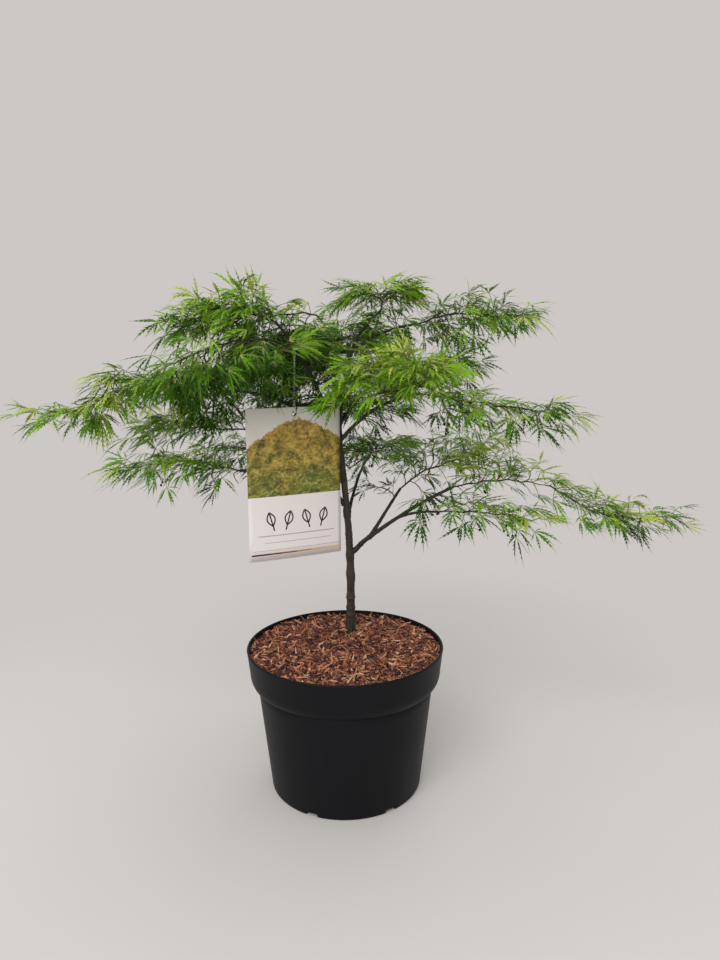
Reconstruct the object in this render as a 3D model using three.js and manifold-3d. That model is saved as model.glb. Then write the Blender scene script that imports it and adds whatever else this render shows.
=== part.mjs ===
// A young cut-leaf Japanese maple in a nursery pot: a slender trunk, long arching boughs
// and flat, drooping masses of foliage in tiers. Millimetres, +Z up, +X to the plant's right
// and +Y to its rear. The origin is the centre of the pot's flat underside.
import * as THREE from 'three';
import { mergeVertices } from 'three/addons/utils/BufferGeometryUtils.js';
import Module from 'manifold-3d';

const wasm = await Module();
wasm.setup();

// ---- Driving dimensions -------------------------------------------------------------------

const GAP = 0.35; // clearance between neighbouring solids
const ROUND = 32; // facets round the pot

const POT = {
  height: 193,
  rim: 130, // outer radius at the top edge
  bandDepth: 31, // height of the stiffening band under the rim
  bandFoot: 126.5, // radius where the band starts to turn in
  shoulder: 116.5, // radius where the band meets the body
  shoulderDepth: 49, // how far below the rim that is
  foot: 101, // radius of the body at the floor
  wall: 2.2,
  floor: 3.5,
};
const DRAIN = { count: 6, first: 5, width: 16, height: 6, depth: 14 }; // notches under the foot
const FILL = { soil: 174, mulchEdge: 187, mulchCentre: 192 }; // levels in the pot
const TRUNK = { x: 5, y: 60, bearing: 220, lean: 16, tall: 292, leave: 94, arrive: 82, foot: 5.8, top: 3.8 };
const FLARE = { swell: 2.2, fade: 16 }; // root flare: extra radius, and how fast it dies out
const CARD = { width: 129, height: 198, thick: 1.0, turn: 26, hole: 3.2, holeDrop: 8, drop: 88 };
const LOOP = { bough: 'upper_left_bough', along: 0.8, strand: 0.9, ring: 6 };

const SIDES = { trunk: 10, limb: 6, mass: 10 };
const STEPS = { trunk: 13, limb: 7, mass: 7 };

// Boughs. Each leaves a parent (on) at a share of its length (at), and reaches and rises to its
// tip along a compass bearing (0 right, 90 rear, 180 left, 270 front), leaving and arriving at
// the given angles above level. thick and thin are its radii at foot and tip.
// name: [on, at, bearing, reach, rise, leave, arrive, thick, thin]
const BOUGHS = {
  leader: ['trunk', 1, 6, 19, 112, 86, 76, 3.3, 2.4],
  low_right_bough: ['trunk', 0.41, -26, 32, 34, 56, 38, 3.7, 3.0],
  low_right_arm: ['low_right_bough', 1, -22, 114, 75, 37, 28, 2.8, 1.9],
  low_right_rear_limb: ['low_right_bough', 1, 39, 54, 59, 48, 46, 2.6, 1.8],
  low_right_front_limb: ['low_right_arm', 0.3, -37, 66, 20, 30, 6, 1.9, 1.4],
  low_left_bough: ['trunk', 0.64, 197, 144, 63, 68, 4, 2.7, 1.8],
  low_left_rear_limb: ['low_left_bough', 0.45, 129, 108, 22, 30, 4, 1.8, 1.3],
  low_rear_bough: ['trunk', 0.6, 71, 98, 75, 56, 16, 2.2, 1.5],
  mid_right_bough: ['trunk', 0.97, -30, 118, 67, 48, 10, 2.6, 1.7],
  front_right_limb: ['mid_right_bough', 0.3, -80, 88, 38, 42, 6, 1.9, 1.3],
  mid_left_bough: ['trunk', 0.77, 175, 134, 74, 58, 2, 2.2, 1.5],
  left_bough: ['trunk', 0.94, 197, 150, 80, 50, 0, 2.6, 1.6],
  upper_left_bough: ['trunk', 1, 214, 90, 147, 62, 46, 2.8, 1.7],
  front_left_limb: ['upper_left_bough', 0.6, 238, 84, 34, 38, 4, 1.8, 1.3],
  upper_right_bough: ['leader', 1, 16, 92, 34, 34, 6, 2.2, 1.5],
  top_limb: ['leader', 1, -24, 42, 52, 72, 46, 2.0, 1.4],
  crown_left_limb: ['leader', 0.7, 140, 52, 80, 64, 40, 1.9, 1.3],
  rear_left_bough: ['trunk', 0.9, 119, 114, 116, 60, 26, 2.4, 1.6],
  rear_bough: ['leader', 0.4, 83, 116, 84, 52, 12, 2.2, 1.5],
  rear_right_bough: ['leader', 0.12, 45, 140, 68, 50, 6, 2.3, 1.5],
};

// Masses of foliage. Each carries on along an arch of its own from a bough, or from another
// mass. wide and deep are its half width and half depth where it is broadest.
// name: [on, at, bearing, reach, rise, leave, arrive, wide, deep]
const MASSES = {
  crown_top: ['top_limb', 0.95, 84, 128, 6, 34, -34, 84, 30],
  crown_left: ['crown_left_limb', 0.95, 165, 138, 4, 22, -22, 66, 31],
  upper_right: ['upper_right_bough', 0.95, 12, 188, 18, 12, 4, 68, 40],
  upper_left: ['upper_left_bough', 0.95, 168, 146, -10, 24, -34, 70, 37],
  front_left: ['front_left_limb', 0.95, 212, 128, -24, 4, -34, 60, 31],
  left: ['left_bough', 0.95, 190, 178, 14, 12, -10, 62, 33],
  far_left: ['left', 0.46, 187, 196, -30, -30, 18, 34, 23],
  mid_left: ['mid_left_bough', 0.95, 177, 180, -14, 4, -14, 58, 27],
  low_left: ['low_left_bough', 0.95, 189, 184, 4, 4, -12, 56, 33],
  low_left_rear: ['low_left_rear_limb', 0.95, 140, 140, -12, 4, -26, 56, 29],
  low_rear: ['low_rear_bough', 0.95, 80, 150, -8, 12, -26, 68, 31],
  mid_right: ['mid_right_bough', 0.95, -13, 222, -24, 0, -4, 56, 32],
  front_right: ['front_right_limb', 0.95, -62, 122, -6, 14, -28, 80, 40],
  low_right: ['low_right_arm', 0.95, -5, 156, -14, 18, -26, 54, 31],
  far_right: ['low_right', 0.95, 0, 170, -12, -30, 22, 42, 29],
  low_right_front: ['low_right_front_limb', 0.95, -20, 154, -18, 0, -18, 46, 27],
  low_right_rear: ['low_right_rear_limb', 0.95, 16, 196, 46, 46, -8, 60, 41],
  rear_left: ['rear_left_bough', 0.95, 134, 178, -4, 18, -28, 78, 37],
  rear: ['rear_bough', 0.95, 92, 164, -16, 10, -32, 84, 37],
  rear_right: ['rear_right_bough', 0.95, 40, 176, -8, 10, -24, 74, 36],
};

// ---- Finishes -----------------------------------------------------------------------------

function finish(color, roughness) {
  return new THREE.MeshStandardMaterial({ color, roughness, metalness: 0 });
}


const FINISHES = {
  pot: finish(0x1f1f24, 0.5),
  soil: finish(0x2e2320, 0.95),
  mulch: finish(0x8a4f38, 0.9),
  bark: finish(0x40392c, 0.85),
  leaf: finish(0x4b8a25, 0.7),
  card: finish(0xd8d2d0, 0.4),
  loop: finish(0xc9d0c8, 0.35),
};

// ---- Solids and booleans ------------------------------------------------------------------

// A closed three.js geometry as a manifold solid, with its shared corners merged.
function solid(geometry) {
  const bare = geometry.clone();
  bare.deleteAttribute('normal');
  bare.deleteAttribute('uv');
  const merged = mergeVertices(bare, 1e-4);
  const vertProperties = new Float32Array(merged.attributes.position.array);
  const triVerts = new Uint32Array(merged.index.array);
  return new wasm.Manifold(new wasm.Mesh({ numProp: 3, vertProperties, triVerts }));
}

// The biggest connected piece of a solid, so that a cut never leaves loose crumbs.
function largest(whole) {
  const pieces = whole.decompose();
  pieces.sort((a, b) => b.volume() - a.volume());
  return pieces[0];
}

function geometryOf(body) {
  const { numProp, vertProperties, triVerts } = body.getMesh();
  const places = [];
  for (let i = 0; i < vertProperties.length; i += numProp) {
    places.push(...vertProperties.subarray(i, i + 3));
  }
  const geometry = new THREE.BufferGeometry();
  geometry.setAttribute('position', new THREE.Float32BufferAttribute(places, 3));
  geometry.setIndex(Array.from(triVerts));
  geometry.computeVertexNormals();
  return geometry;
}

// A closed skin over a row of rings of points, with a flat fan over each end.
function loft(rings) {
  const around = rings[0].length;
  const places = rings.flat().flatMap((point) => point.toArray());
  const faces = [];
  for (let r = 0; r + 1 < rings.length; r += 1) {
    for (let i = 0; i < around; i += 1) {
      const a = r * around + i;
      const b = r * around + ((i + 1) % around);
      faces.push(a, b + around, b, a, a + around, b + around);
    }
  }
  for (const [r, flip] of [[0, false], [rings.length - 1, true]]) {
    const hub = places.length / 3;
    const centre = rings[r].reduce((sum, point) => sum.add(point), new THREE.Vector3());
    places.push(...centre.divideScalar(around).toArray());
    for (let i = 0; i < around; i += 1) {
      const a = r * around + i;
      const b = r * around + ((i + 1) % around);
      faces.push(hub, flip ? b : a, flip ? a : b);
    }
  }
  const geometry = new THREE.BufferGeometry();
  geometry.setAttribute('position', new THREE.Float32BufferAttribute(places, 3));
  geometry.setIndex(faces);
  return geometry;
}

// A solid of revolution about Z from [radius, height] pairs that start and end on the axis.
function lathe(profile) {
  const points = profile.map(([radius, height]) => new THREE.Vector2(radius, height));
  return new THREE.LatheGeometry(points, ROUND).rotateX(Math.PI / 2);
}

// ---- Growth: arches, limbs and masses -----------------------------------------------------

const UP = new THREE.Vector3(0, 0, 1);
const radians = THREE.MathUtils.degToRad;

// A unit vector at a bearing round Z and an angle above level.
function heading(bearing, angle) {
  const flat = new THREE.Vector3(Math.cos(radians(bearing)), Math.sin(radians(bearing)), 0);
  return flat.multiplyScalar(Math.cos(radians(angle))).addScaledVector(UP, Math.sin(radians(angle)));
}

// A cubic Bezier from a foot to a tip, with handles a fixed share of its chord. It lies in one
// upright plane, so the level direction square to that plane is its side all the way along.
function arch(foot, [bearing, reach, rise, leave, arrive]) {
  const tip = foot.clone().addScaledVector(heading(bearing, 0), reach).addScaledVector(UP, rise);
  const handle = 0.38 * foot.distanceTo(tip);
  const first = foot.clone().addScaledVector(heading(bearing, leave), handle);
  const second = tip.clone().addScaledVector(heading(bearing, arrive), -handle);
  const curve = new THREE.CubicBezierCurve3(foot, first, second, tip);
  return Object.assign(curve, { side: heading(bearing - 90, 0) });
}

// Rings of points square to a curve. outline(t, angle) gives [sideways, upwards] half sizes.
function ringsAlong(curve, steps, sides, outline) {
  const rings = [];
  for (let s = 0; s <= steps; s += 1) {
    const t = s / steps;
    const centre = curve.getPointAt(t);
    const along = curve.getTangentAt(t);
    const above = new THREE.Vector3().crossVectors(curve.side, along);
    const ring = [];
    for (let i = 0; i < sides; i += 1) {
      const angle = (2 * Math.PI * i) / sides;
      const [wide, high] = outline(t, angle);
      const point = centre.clone().addScaledVector(curve.side, wide * Math.cos(angle));
      ring.push(point.addScaledVector(above, high * Math.sin(angle)));
    }
    rings.push(ring);
  }
  return rings;
}

// A round limb that tapers from thick to thin.
function limb(curve, thick, thin, grow) {
  const outline = (t) => {
    const radius = THREE.MathUtils.lerp(thick, thin, t) + grow;
    return [radius, radius];
  };
  return solid(loft(ringsAlong(curve, STEPS.limb, SIDES.limb, outline)));
}

// The trunk tapers too, swells out to its roots, and is cut level at the ground.
function trunk(curve, grow) {
  const outline = (t, angle) => {
    const flare = FLARE.swell * Math.exp(-FLARE.fade * t) * (1 + 0.25 * Math.sin(3 * angle));
    const knot = 0.5 * Math.exp(-(((t - 0.33) / 0.05) ** 2));
    const radius = THREE.MathUtils.lerp(TRUNK.foot, TRUNK.top, t ** 0.8) + flare + knot + grow;
    return [radius, radius];
  };
  const rings = ringsAlong(curve, STEPS.trunk, SIDES.trunk, outline);
  rings[0].forEach((point) => point.setZ(curve.v0.z - grow));
  return solid(loft(rings));
}

// A mass of foliage: an uneven pad along its arch. It swells quickly from a narrow neck and
// narrows to a tip, hangs further below its arch than it stands above, and bulges in lobes
// that its seed sets.
function mass(curve, wide, deep, seed, grow) {
  const outline = (t, angle) => {
    const swell = (1.02 - t) ** 0.55 * (t + 0.02) ** 0.45 * 1.98;
    const round = 0.15 * Math.sin(3 * angle + seed * 2.1 + 5 * t);
    const along = 0.12 * Math.sin(9 * t + seed + angle);
    const hang = Math.sin(angle) < 0 ? 1.15 : 0.9;
    const size = swell * (1 + round + along);
    return [wide * size + grow, deep * hang * size + grow];
  };
  return solid(loft(ringsAlong(curve, STEPS.mass, SIDES.mass, outline)));
}

// ---- The pot and what fills it ------------------------------------------------------------

// The body is a tapered tub with a deep band under its rim, hollowed from above.
function pot() {
  const { height, rim, bandDepth, bandFoot, shoulder, shoulderDepth, foot, wall, floor } = POT;
  const turn = [];
  for (let s = 0; s <= 3; s += 1) {
    const angle = (s / 3) * (Math.PI / 2);
    const drop = bandDepth + (shoulderDepth - bandDepth) * Math.sin(angle);
    turn.push([shoulder + (bandFoot - shoulder) * Math.cos(angle), height - drop]);
  }
  turn.reverse();
  const lip = [[rim, height - 3], [rim - 1, height], [0, height]];
  const outside = [[0, 0], [foot - 3, 0], [foot, 4], ...turn, ...lip];
  const lining = turn.map(([radius, level]) => [radius - wall, level]);
  const mouth = [[rim - wall - 0.6, height + 1], [0, height + 1]];
  const inside = [[0, floor], [foot - wall, floor], ...lining, ...mouth];
  let body = solid(lathe(outside)).subtract(solid(lathe(inside)));
  for (let i = 0; i < DRAIN.count; i += 1) {
    const notch = new THREE.BoxGeometry(DRAIN.depth * 2, DRAIN.width, DRAIN.height * 2);
    notch.translate(foot - 1, 0, -DRAIN.height + DRAIN.height * 0.95);
    notch.rotateZ(radians(DRAIN.first + (360 * i) / DRAIN.count));
    body = body.subtract(solid(notch));
  }
  return largest(body);
}

// The inner radius of the pot at a level, from the same shapes as its lining.
function boreAt(level) {
  const { height, rim, bandDepth, bandFoot, shoulder, shoulderDepth, foot, wall, floor } = POT;
  const shoulderLevel = height - shoulderDepth;
  const bandLevel = height - bandDepth;
  if (level < shoulderLevel) {
    return THREE.MathUtils.mapLinear(level, floor, shoulderLevel, foot, shoulder) - wall;
  }
  if (level < bandLevel) {
    return THREE.MathUtils.mapLinear(level, shoulderLevel, bandLevel, shoulder, bandFoot) - wall;
  }
  return THREE.MathUtils.mapLinear(level, bandLevel, height, bandFoot, rim - 0.6) - wall;
}

function soil() {
  const low = POT.floor + GAP;
  const shoulderLevel = POT.height - POT.shoulderDepth;
  const profile = [[0, low], [boreAt(low) - GAP, low], [boreAt(shoulderLevel) - GAP, shoulderLevel]];
  profile.push([boreAt(FILL.soil) - 4 * GAP, FILL.soil], [0, FILL.soil]);
  return solid(lathe(profile));
}

function mulch() {
  const low = FILL.soil + GAP;
  const edge = boreAt(FILL.mulchEdge) - 2 * GAP;
  const profile = [[0, low], [boreAt(low) - 4 * GAP, low], [edge, FILL.mulchEdge]];
  for (let s = 3; s >= 0; s -= 1) {
    const share = s / 4;
    const level = THREE.MathUtils.lerp(FILL.mulchCentre, FILL.mulchEdge, share ** 2);
    profile.push([share * edge, level]);
  }
  return solid(lathe(profile));
}

// ---- The hanging label --------------------------------------------------------------------

function placeCard(geometry, hang) {
  geometry.rotateZ(radians(CARD.turn));
  return geometry.translate(hang.x, hang.y, hang.z);
}

// A blank card that hangs by a hole near its top edge; hang is the centre of that hole.
function card(hang, grow) {
  const { width, height, thick, hole, holeDrop } = CARD;
  const blank = new THREE.BoxGeometry(width + 2 * grow, thick + 2 * grow, height + 2 * grow);
  blank.translate(0, 0, holeDrop - height / 2);
  const sheet = solid(placeCard(blank, hang));
  const punch = new THREE.CylinderGeometry(hole - grow, hole - grow, 10 * thick, 16);
  return sheet.subtract(solid(placeCard(punch, hang)));
}

// A ring round the bough and a ring through the card, joined by a strand.
function cardLoop(grip, along, hang) {
  const { ring, strand } = LOOP;
  const upper = new THREE.TorusGeometry(ring, strand, 6, 14);
  upper.applyQuaternion(new THREE.Quaternion().setFromUnitVectors(UP, along));
  upper.translate(grip.x, grip.y, grip.z);
  const lower = new THREE.TorusGeometry(ring, strand, 6, 14).rotateY(Math.PI / 2);
  placeCard(lower.translate(0, 0, ring), hang);
  const top = grip.clone().addScaledVector(UP, -ring);
  const bottom = hang.clone().addScaledVector(UP, 2 * ring);
  const run = new THREE.CylinderGeometry(strand, strand, top.z - bottom.z, 6).rotateX(Math.PI / 2);
  run.translate(grip.x, grip.y, (top.z + bottom.z) / 2);
  return solid(upper).add(solid(run)).add(solid(lower));
}

// ---- Assembly -----------------------------------------------------------------------------

const group = new THREE.Group();

function addNode(name, body, material) {
  const mesh = new THREE.Mesh(geometryOf(largest(body)), material);
  mesh.name = name;
  group.add(mesh);
}

const curves = {}; // the centre line of each limb and mass
const placed = []; // solids already in place, each grown by GAP, that later ones keep clear of

// Cut a solid back from everything already in place that it touches.
function clearOf(body) {
  return placed.reduce((left, other) => left.subtract(other), body);
}

const trunkFoot = new THREE.Vector3(TRUNK.x, TRUNK.y, FILL.soil + GAP);
curves.trunk = arch(trunkFoot, [TRUNK.bearing, TRUNK.lean, TRUNK.tall, TRUNK.leave, TRUNK.arrive]);

addNode('pot', pot(), FINISHES.pot);
addNode('compost', soil(), FINISHES.soil);
addNode('bark_mulch', mulch().subtract(trunk(curves.trunk, GAP)), FINISHES.mulch);
addNode('trunk', trunk(curves.trunk, 0), FINISHES.bark);
placed.push(trunk(curves.trunk, GAP));

for (const [name, [on, at, ...row]] of Object.entries(BOUGHS)) {
  const [thick, thin] = row.slice(5);
  curves[name] = arch(curves[on].getPointAt(at), row);
  addNode(name, clearOf(limb(curves[name], thick, thin, 0)), FINISHES.bark);
  placed.push(limb(curves[name], thick, thin, GAP));
}

const grip = curves[LOOP.bough].getPointAt(LOOP.along);
const gripAlong = curves[LOOP.bough].getTangentAt(LOOP.along);
const hang = grip.clone().addScaledVector(UP, -CARD.drop);
addNode('label_card', card(hang, 0), FINISHES.card);
addNode('label_loop', cardLoop(grip, gripAlong, hang), FINISHES.loop);
placed.push(card(hang, GAP));

for (const [seed, [name, [on, at, ...row]]] of Object.entries(MASSES).entries()) {
  const [wide, deep] = row.slice(5);
  curves[name] = arch(curves[on].getPointAt(at), row);
  addNode(name, clearOf(mass(curves[name], wide, deep, seed + 1, 0)), FINISHES.leaf);
  placed.push(mass(curves[name], wide, deep, seed + 1, GAP));
}

export default group;
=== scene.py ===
# %% [markdown]
# # A cut-leaf maple in a nursery pot
#
# The plant is a young grafted tree: one slender stem, long arching boughs, and tiers of leaves cut
# so finely that each lobe is a feather with a whip-like tip. The pot, the levels in it, the route
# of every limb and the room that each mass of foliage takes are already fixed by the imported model.
# This script reads them from it and puts bark, twigs, leaves, mulch and a label in their place.

# %% Load the frame
import math

import bpy
import numpy as np
from mathutils import Matrix, Vector


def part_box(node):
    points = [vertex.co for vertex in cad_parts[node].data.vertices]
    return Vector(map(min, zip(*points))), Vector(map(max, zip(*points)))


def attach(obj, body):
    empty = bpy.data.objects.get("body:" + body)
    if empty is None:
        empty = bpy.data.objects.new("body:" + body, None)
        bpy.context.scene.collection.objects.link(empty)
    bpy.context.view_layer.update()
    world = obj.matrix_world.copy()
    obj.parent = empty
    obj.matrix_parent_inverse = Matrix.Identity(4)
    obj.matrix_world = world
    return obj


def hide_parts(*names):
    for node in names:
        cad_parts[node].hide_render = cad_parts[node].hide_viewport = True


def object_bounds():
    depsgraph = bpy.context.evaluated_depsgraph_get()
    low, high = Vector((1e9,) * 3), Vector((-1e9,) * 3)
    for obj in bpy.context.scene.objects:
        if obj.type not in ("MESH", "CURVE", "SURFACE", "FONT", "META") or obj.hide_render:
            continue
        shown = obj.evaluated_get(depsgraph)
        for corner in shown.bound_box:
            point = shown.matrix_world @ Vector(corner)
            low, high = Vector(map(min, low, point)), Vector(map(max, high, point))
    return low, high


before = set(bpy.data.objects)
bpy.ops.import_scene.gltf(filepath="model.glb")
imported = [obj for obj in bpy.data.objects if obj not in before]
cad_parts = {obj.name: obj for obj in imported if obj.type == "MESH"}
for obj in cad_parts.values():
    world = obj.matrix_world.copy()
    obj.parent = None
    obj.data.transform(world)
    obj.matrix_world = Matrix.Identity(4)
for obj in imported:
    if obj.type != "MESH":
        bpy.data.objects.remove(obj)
cad_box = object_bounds()
MM = 0.001
UP = np.array([0.0, 0.0, 1.0])
print("nodes:", len(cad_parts), "box:", [tuple(round(v, 3) for v in corner) for corner in cad_box])

# %% [markdown]
# ## Colour and nodes
#
# Colours are picked as sRGB hex values, but a shader works with linear light, so one function turns
# them. Each named socket of a node either takes a value or is linked, depending on what it is given,
# so a material reads as a list of what feeds what.


# %% Colour and node helpers
def linear(code, alpha=1.0):
    """sRGB hex to linear RGBA: c / 12.92 for c up to 0.04045, else ((c + 0.055) / 1.055) to the 2.4."""
    srgb = np.array([int(code[i:i + 2], 16) for i in (1, 3, 5)]) / 255
    light = np.where(srgb <= 0.04045, srgb / 12.92, ((srgb + 0.055) / 1.055) ** 2.4)
    return (*light.tolist(), alpha)


def feed(node, sockets):
    """Fills a node's sockets: one that is given another node's output is linked, else it is set."""
    for name, value in sockets.items():
        if isinstance(value, bpy.types.NodeSocket):
            node.id_data.links.new(value, node.inputs[name])
        else:
            node.inputs[name].default_value = value


def add(tree, kind, sockets, out=0, **settings):
    """Adds one shader node with its settings, fills its sockets and gives back one of its outputs.

    A texture's Scale is the number of its cells to a metre where its Vector is the Object
    coordinate, and to the whole card where it is the card's own.
    """
    made = tree.nodes.new("ShaderNode" + kind)
    for name, value in settings.items():
        setattr(made, name, value)
    feed(made, sockets)
    return made.outputs[out]


def finish(name, colour, roughness, **sockets):
    """A material whose Principled shader has these plain values, with its node tree and shader."""
    material = bpy.data.materials.new(name)
    material.use_nodes = True
    shader = material.node_tree.nodes["Principled BSDF"]
    feed(shader, {"Base Color": linear(colour), "Roughness": roughness})
    feed(shader, {socket.replace("_", " "): value for socket, value in sockets.items()})
    return material, material.node_tree, shader


# %% [markdown]
# ## Meshes from arrays
#
# Every new piece is one or more arrays of points and of faces. Faces come as arrays with one corner
# count each, so a tube is a set of four-cornered faces and a set of three-cornered ones. Stacking
# such parts only needs each part's corner numbers moved on by the points that went before it.


# %% Mesh helpers
def unit(vectors):
    """Each vector divided by its length."""
    return vectors / np.linalg.norm(vectors, axis=-1, keepdims=True)


def gather(parts):
    """Stacks parts, each (points, [faces of one corner count, ...]), into one such part."""
    starts = np.cumsum([0] + [len(points) for points, _ in parts[:-1]])
    points = np.concatenate([points for points, _ in parts])
    kinds = range(len(parts[0][1]))
    faces = [np.concatenate([part[1][kind] + start for part, start in zip(parts, starts)])
             for kind in kinds]
    return points, faces


def capped_grid(count, sides):
    """Faces of a tube of count rings: (ring, side) joins its next side and the next ring's two, and a
    fan closes each end about a pole. The poles are the two points that follow the last ring.
    """
    here, after = np.arange(sides), np.roll(np.arange(sides), -1)
    row = np.arange(count - 1)[:, None] * sides
    quads = np.stack([row + here, row + after, row + sides + after, row + sides + here], axis=-1)
    last, pole = (count - 1) * sides, np.full(sides, count * sides)
    start_fan = np.stack([after, here, pole], axis=1)
    end_fan = np.stack([last + here, last + after, pole + 1], axis=1)
    return [quads.reshape(-1, 4), np.concatenate([start_fan, end_fan])]


def piece(name, points, faces, materials, dealt=None, smooth=True, replaces=()):
    """A mesh object from arrays, riding on the plant; dealt gives each face its material's number."""
    corners = np.concatenate([kind.ravel() for kind in faces])
    counts = np.concatenate([np.full(len(kind), kind.shape[1]) for kind in faces])
    mesh = bpy.data.meshes.new(name)
    mesh.vertices.add(len(points))
    mesh.vertices.foreach_set("co", points.astype(np.float32).ravel())
    mesh.loops.add(len(corners))
    mesh.loops.foreach_set("vertex_index", corners.astype(np.int32))
    mesh.polygons.add(len(counts))
    mesh.polygons.foreach_set("loop_start", (np.cumsum(counts) - counts).astype(np.int32))
    mesh.polygons.foreach_set("use_smooth", np.full(len(counts), smooth))
    for material in materials:
        mesh.materials.append(material)
    if dealt is not None:
        mesh.polygons.foreach_set("material_index", dealt.astype(np.int32))
    mesh.update(calc_edges=True)
    made = bpy.data.objects.new(name, mesh)
    bpy.context.scene.collection.objects.link(made)
    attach(made, "root")
    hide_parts(*replaces)
    print(f"{name}: {len(points)} points, {int((counts - 2).sum())} triangles")
    return made


# %% [markdown]
# ## Camera
#
# The plant is seen from the front and a little above, from under a metre away, by the wide lens of a
# telephone. The camera looks down about ten degrees, so the mulch shows over the pot's rim.

# %% Camera
CAMERA_PLACE = (0.021, -0.945, 0.579)
LOOK_DOWN = math.radians(9.9)
ROLL = math.radians(-0.34)

camera = bpy.data.objects.new("camera", bpy.data.cameras.new("camera"))
camera.data.lens = 28
camera.data.sensor_width = 36
camera.data.clip_start = 0.05
facing = Matrix.Rotation(math.pi / 2 - LOOK_DOWN, 4, "X") @ Matrix.Rotation(ROLL, 4, "Z")
camera.matrix_world = Matrix.Translation(CAMERA_PLACE) @ facing
bpy.context.scene.collection.objects.link(camera)
bpy.context.scene.camera = camera

# %% [markdown]
# ## Floor and light
#
# A pale floor that ends in a horizon would cut across the crown from some sides. Here the floor
# thins out with distance from the pot, until only the world's own pale warm grey is left, so the
# plant stands on a ground with no edge. The world gives a little over half of the light, and two
# large lamps the rest: one high in front gives form, one behind lights the leaves' edges.

# %% Floor and light
FLOOR_REACH = 3.0
SHADE_FULL, SHADE_GONE = 0.5, 1.25  # the floor thins out between these distances

world = bpy.data.worlds.new("studio")
bpy.context.scene.world = world
world.use_nodes = True
feed(world.node_tree.nodes["Background"], {"Color": linear("#cdc8c5"), "Strength": 1.0})
bpy.context.scene.view_settings.view_transform = "Standard"


def lamp(name, place, target, size, power, colour):
    """A square area lamp at a place, turned to a target."""
    made = bpy.data.objects.new(name, bpy.data.lights.new(name, "AREA"))
    made.data.size = size
    made.data.energy = power
    made.data.color = linear(colour)[:3]
    aim = (Vector(target) - Vector(place)).to_track_quat("-Z", "Y")
    made.matrix_world = Matrix.Translation(place) @ aim.to_matrix().to_4x4()
    bpy.context.scene.collection.objects.link(made)


lamp("key_lamp", (-0.6, -1.7, 1.7), (0.0, 0.0, 0.4), 1.6, 34, "#fffcf8")
lamp("rear_lamp", (0.8, 1.6, 2.4), (0.0, 0.1, 0.4), 1.6, 12, "#f6f8ff")

paint, tree, shader = finish("floor_paint", "#d6d5d3", 0.75)
here = add(tree, "TexCoord", {}, out="Object")
distance = add(tree, "VectorMath", {0: here}, out="Value", operation="LENGTH")
kept = add(tree, "MapRange", {"Value": distance, "From Min": SHADE_GONE, "From Max": SHADE_FULL},
           interpolation_type="SMOOTHERSTEP")
clear = add(tree, "BsdfTransparent", {})
blend = add(tree, "MixShader", {"Fac": kept, 1: clear, 2: shader.outputs[0]})
feed(tree.nodes["Material Output"], {"Surface": blend})
mesh = bpy.data.meshes.new("floor")
corners = FLOOR_REACH * np.array([(-1, -1, 0), (1, -1, 0), (1, 1, 0), (-1, 1, 0)])
mesh.from_pydata(corners.tolist(), [], [(0, 1, 2, 3)])
mesh.materials.append(paint)
floor = bpy.data.objects.new("floor", mesh)
bpy.context.scene.collection.objects.link(floor)

# %% [markdown]
# ## Centre lines of the limbs
#
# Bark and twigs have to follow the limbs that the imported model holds, and it holds them as faceted
# solids. A solid's centre line could be traced by hand, but it can also be measured: the solid is
# cut by planes square to the line between its two ends, the middle of each cut is a point on the
# centre line, and a low-order curve through those points smooths out the facets.


# %% Centre lines
FACET_LOSS = 1.05  # a faceted tube's surface lies this much inside its round one
LINE_POINTS = 60


def facets(node):
    """The node's triangles as an array of three corners each."""
    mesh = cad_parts[node].data
    spots = np.empty(3 * len(mesh.vertices))
    mesh.vertices.foreach_get("co", spots)
    corners = np.empty(len(mesh.loops), int)
    mesh.loops.foreach_get("vertex_index", corners)
    return spots.reshape(-1, 3)[corners].reshape(-1, 3, 3)


def resampled(path, step):
    """Points at equal steps of length along a path, ends kept."""
    run = np.concatenate([[0], np.cumsum(np.linalg.norm(np.diff(path[:, :3], axis=0), axis=1))])
    at = np.linspace(0, run[-1], max(2, round(run[-1] / step) + 1))
    return np.stack([np.interp(at, run, column) for column in path.T], axis=1)


def centre_line(node, start, order=4, cuts=28, back=0.0, along=1.0):
    """Centre line and radius of a long solid from the end nearest to start, as rows of x, y, z, r.

    Each edge of each facet is cut by planes square to the line between the solid's two ends; a
    plane's centre is the mean of its crossings, its radius their mean distance from the line's
    direction there, and a polynomial of the given order in the plane's height smooths the centres.
    """
    faces = facets(node)
    spots = faces.reshape(-1, 3)
    first = spots[np.argmin(np.linalg.norm(spots - start, axis=1))]
    last = spots[np.argmax(np.linalg.norm(spots - first, axis=1))]
    axis = unit(last - first)
    length = float((last - first) @ axis)
    ends = np.stack([faces, np.roll(faces, -1, axis=1)], axis=2).reshape(-1, 2, 3)
    height = (ends - first) @ axis
    levels = np.linspace(0.05, 0.95, cuts) * length
    rise = height[:, 1] - height[:, 0]
    share = (levels[:, None] - height[:, 0]) / np.where(np.abs(rise) < 1e-9, np.inf, rise)
    crossed = (share > 0) & (share < 1)
    crossing = ends[:, 0] + share[..., None] * (ends[:, 1] - ends[:, 0])
    weight = crossed / crossed.sum(1, keepdims=True)
    centres = (weight[..., None] * crossing).sum(1)
    curve = np.polyfit(levels, centres, order)
    slope = unit(np.stack([np.polyval(np.polyder(column), levels) for column in curve.T], axis=1))
    off = crossing - centres[:, None]
    off = off - (off * slope[:, None]).sum(-1, keepdims=True) * slope[:, None]
    radius = FACET_LOSS * (weight * np.linalg.norm(off, axis=-1)).sum(1)
    at = np.linspace(-back, along * length, LINE_POINTS)
    line = np.stack([np.polyval(column, at) for column in curve.T], axis=1)
    return np.column_stack([line, np.interp(at, levels, radius)])


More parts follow.
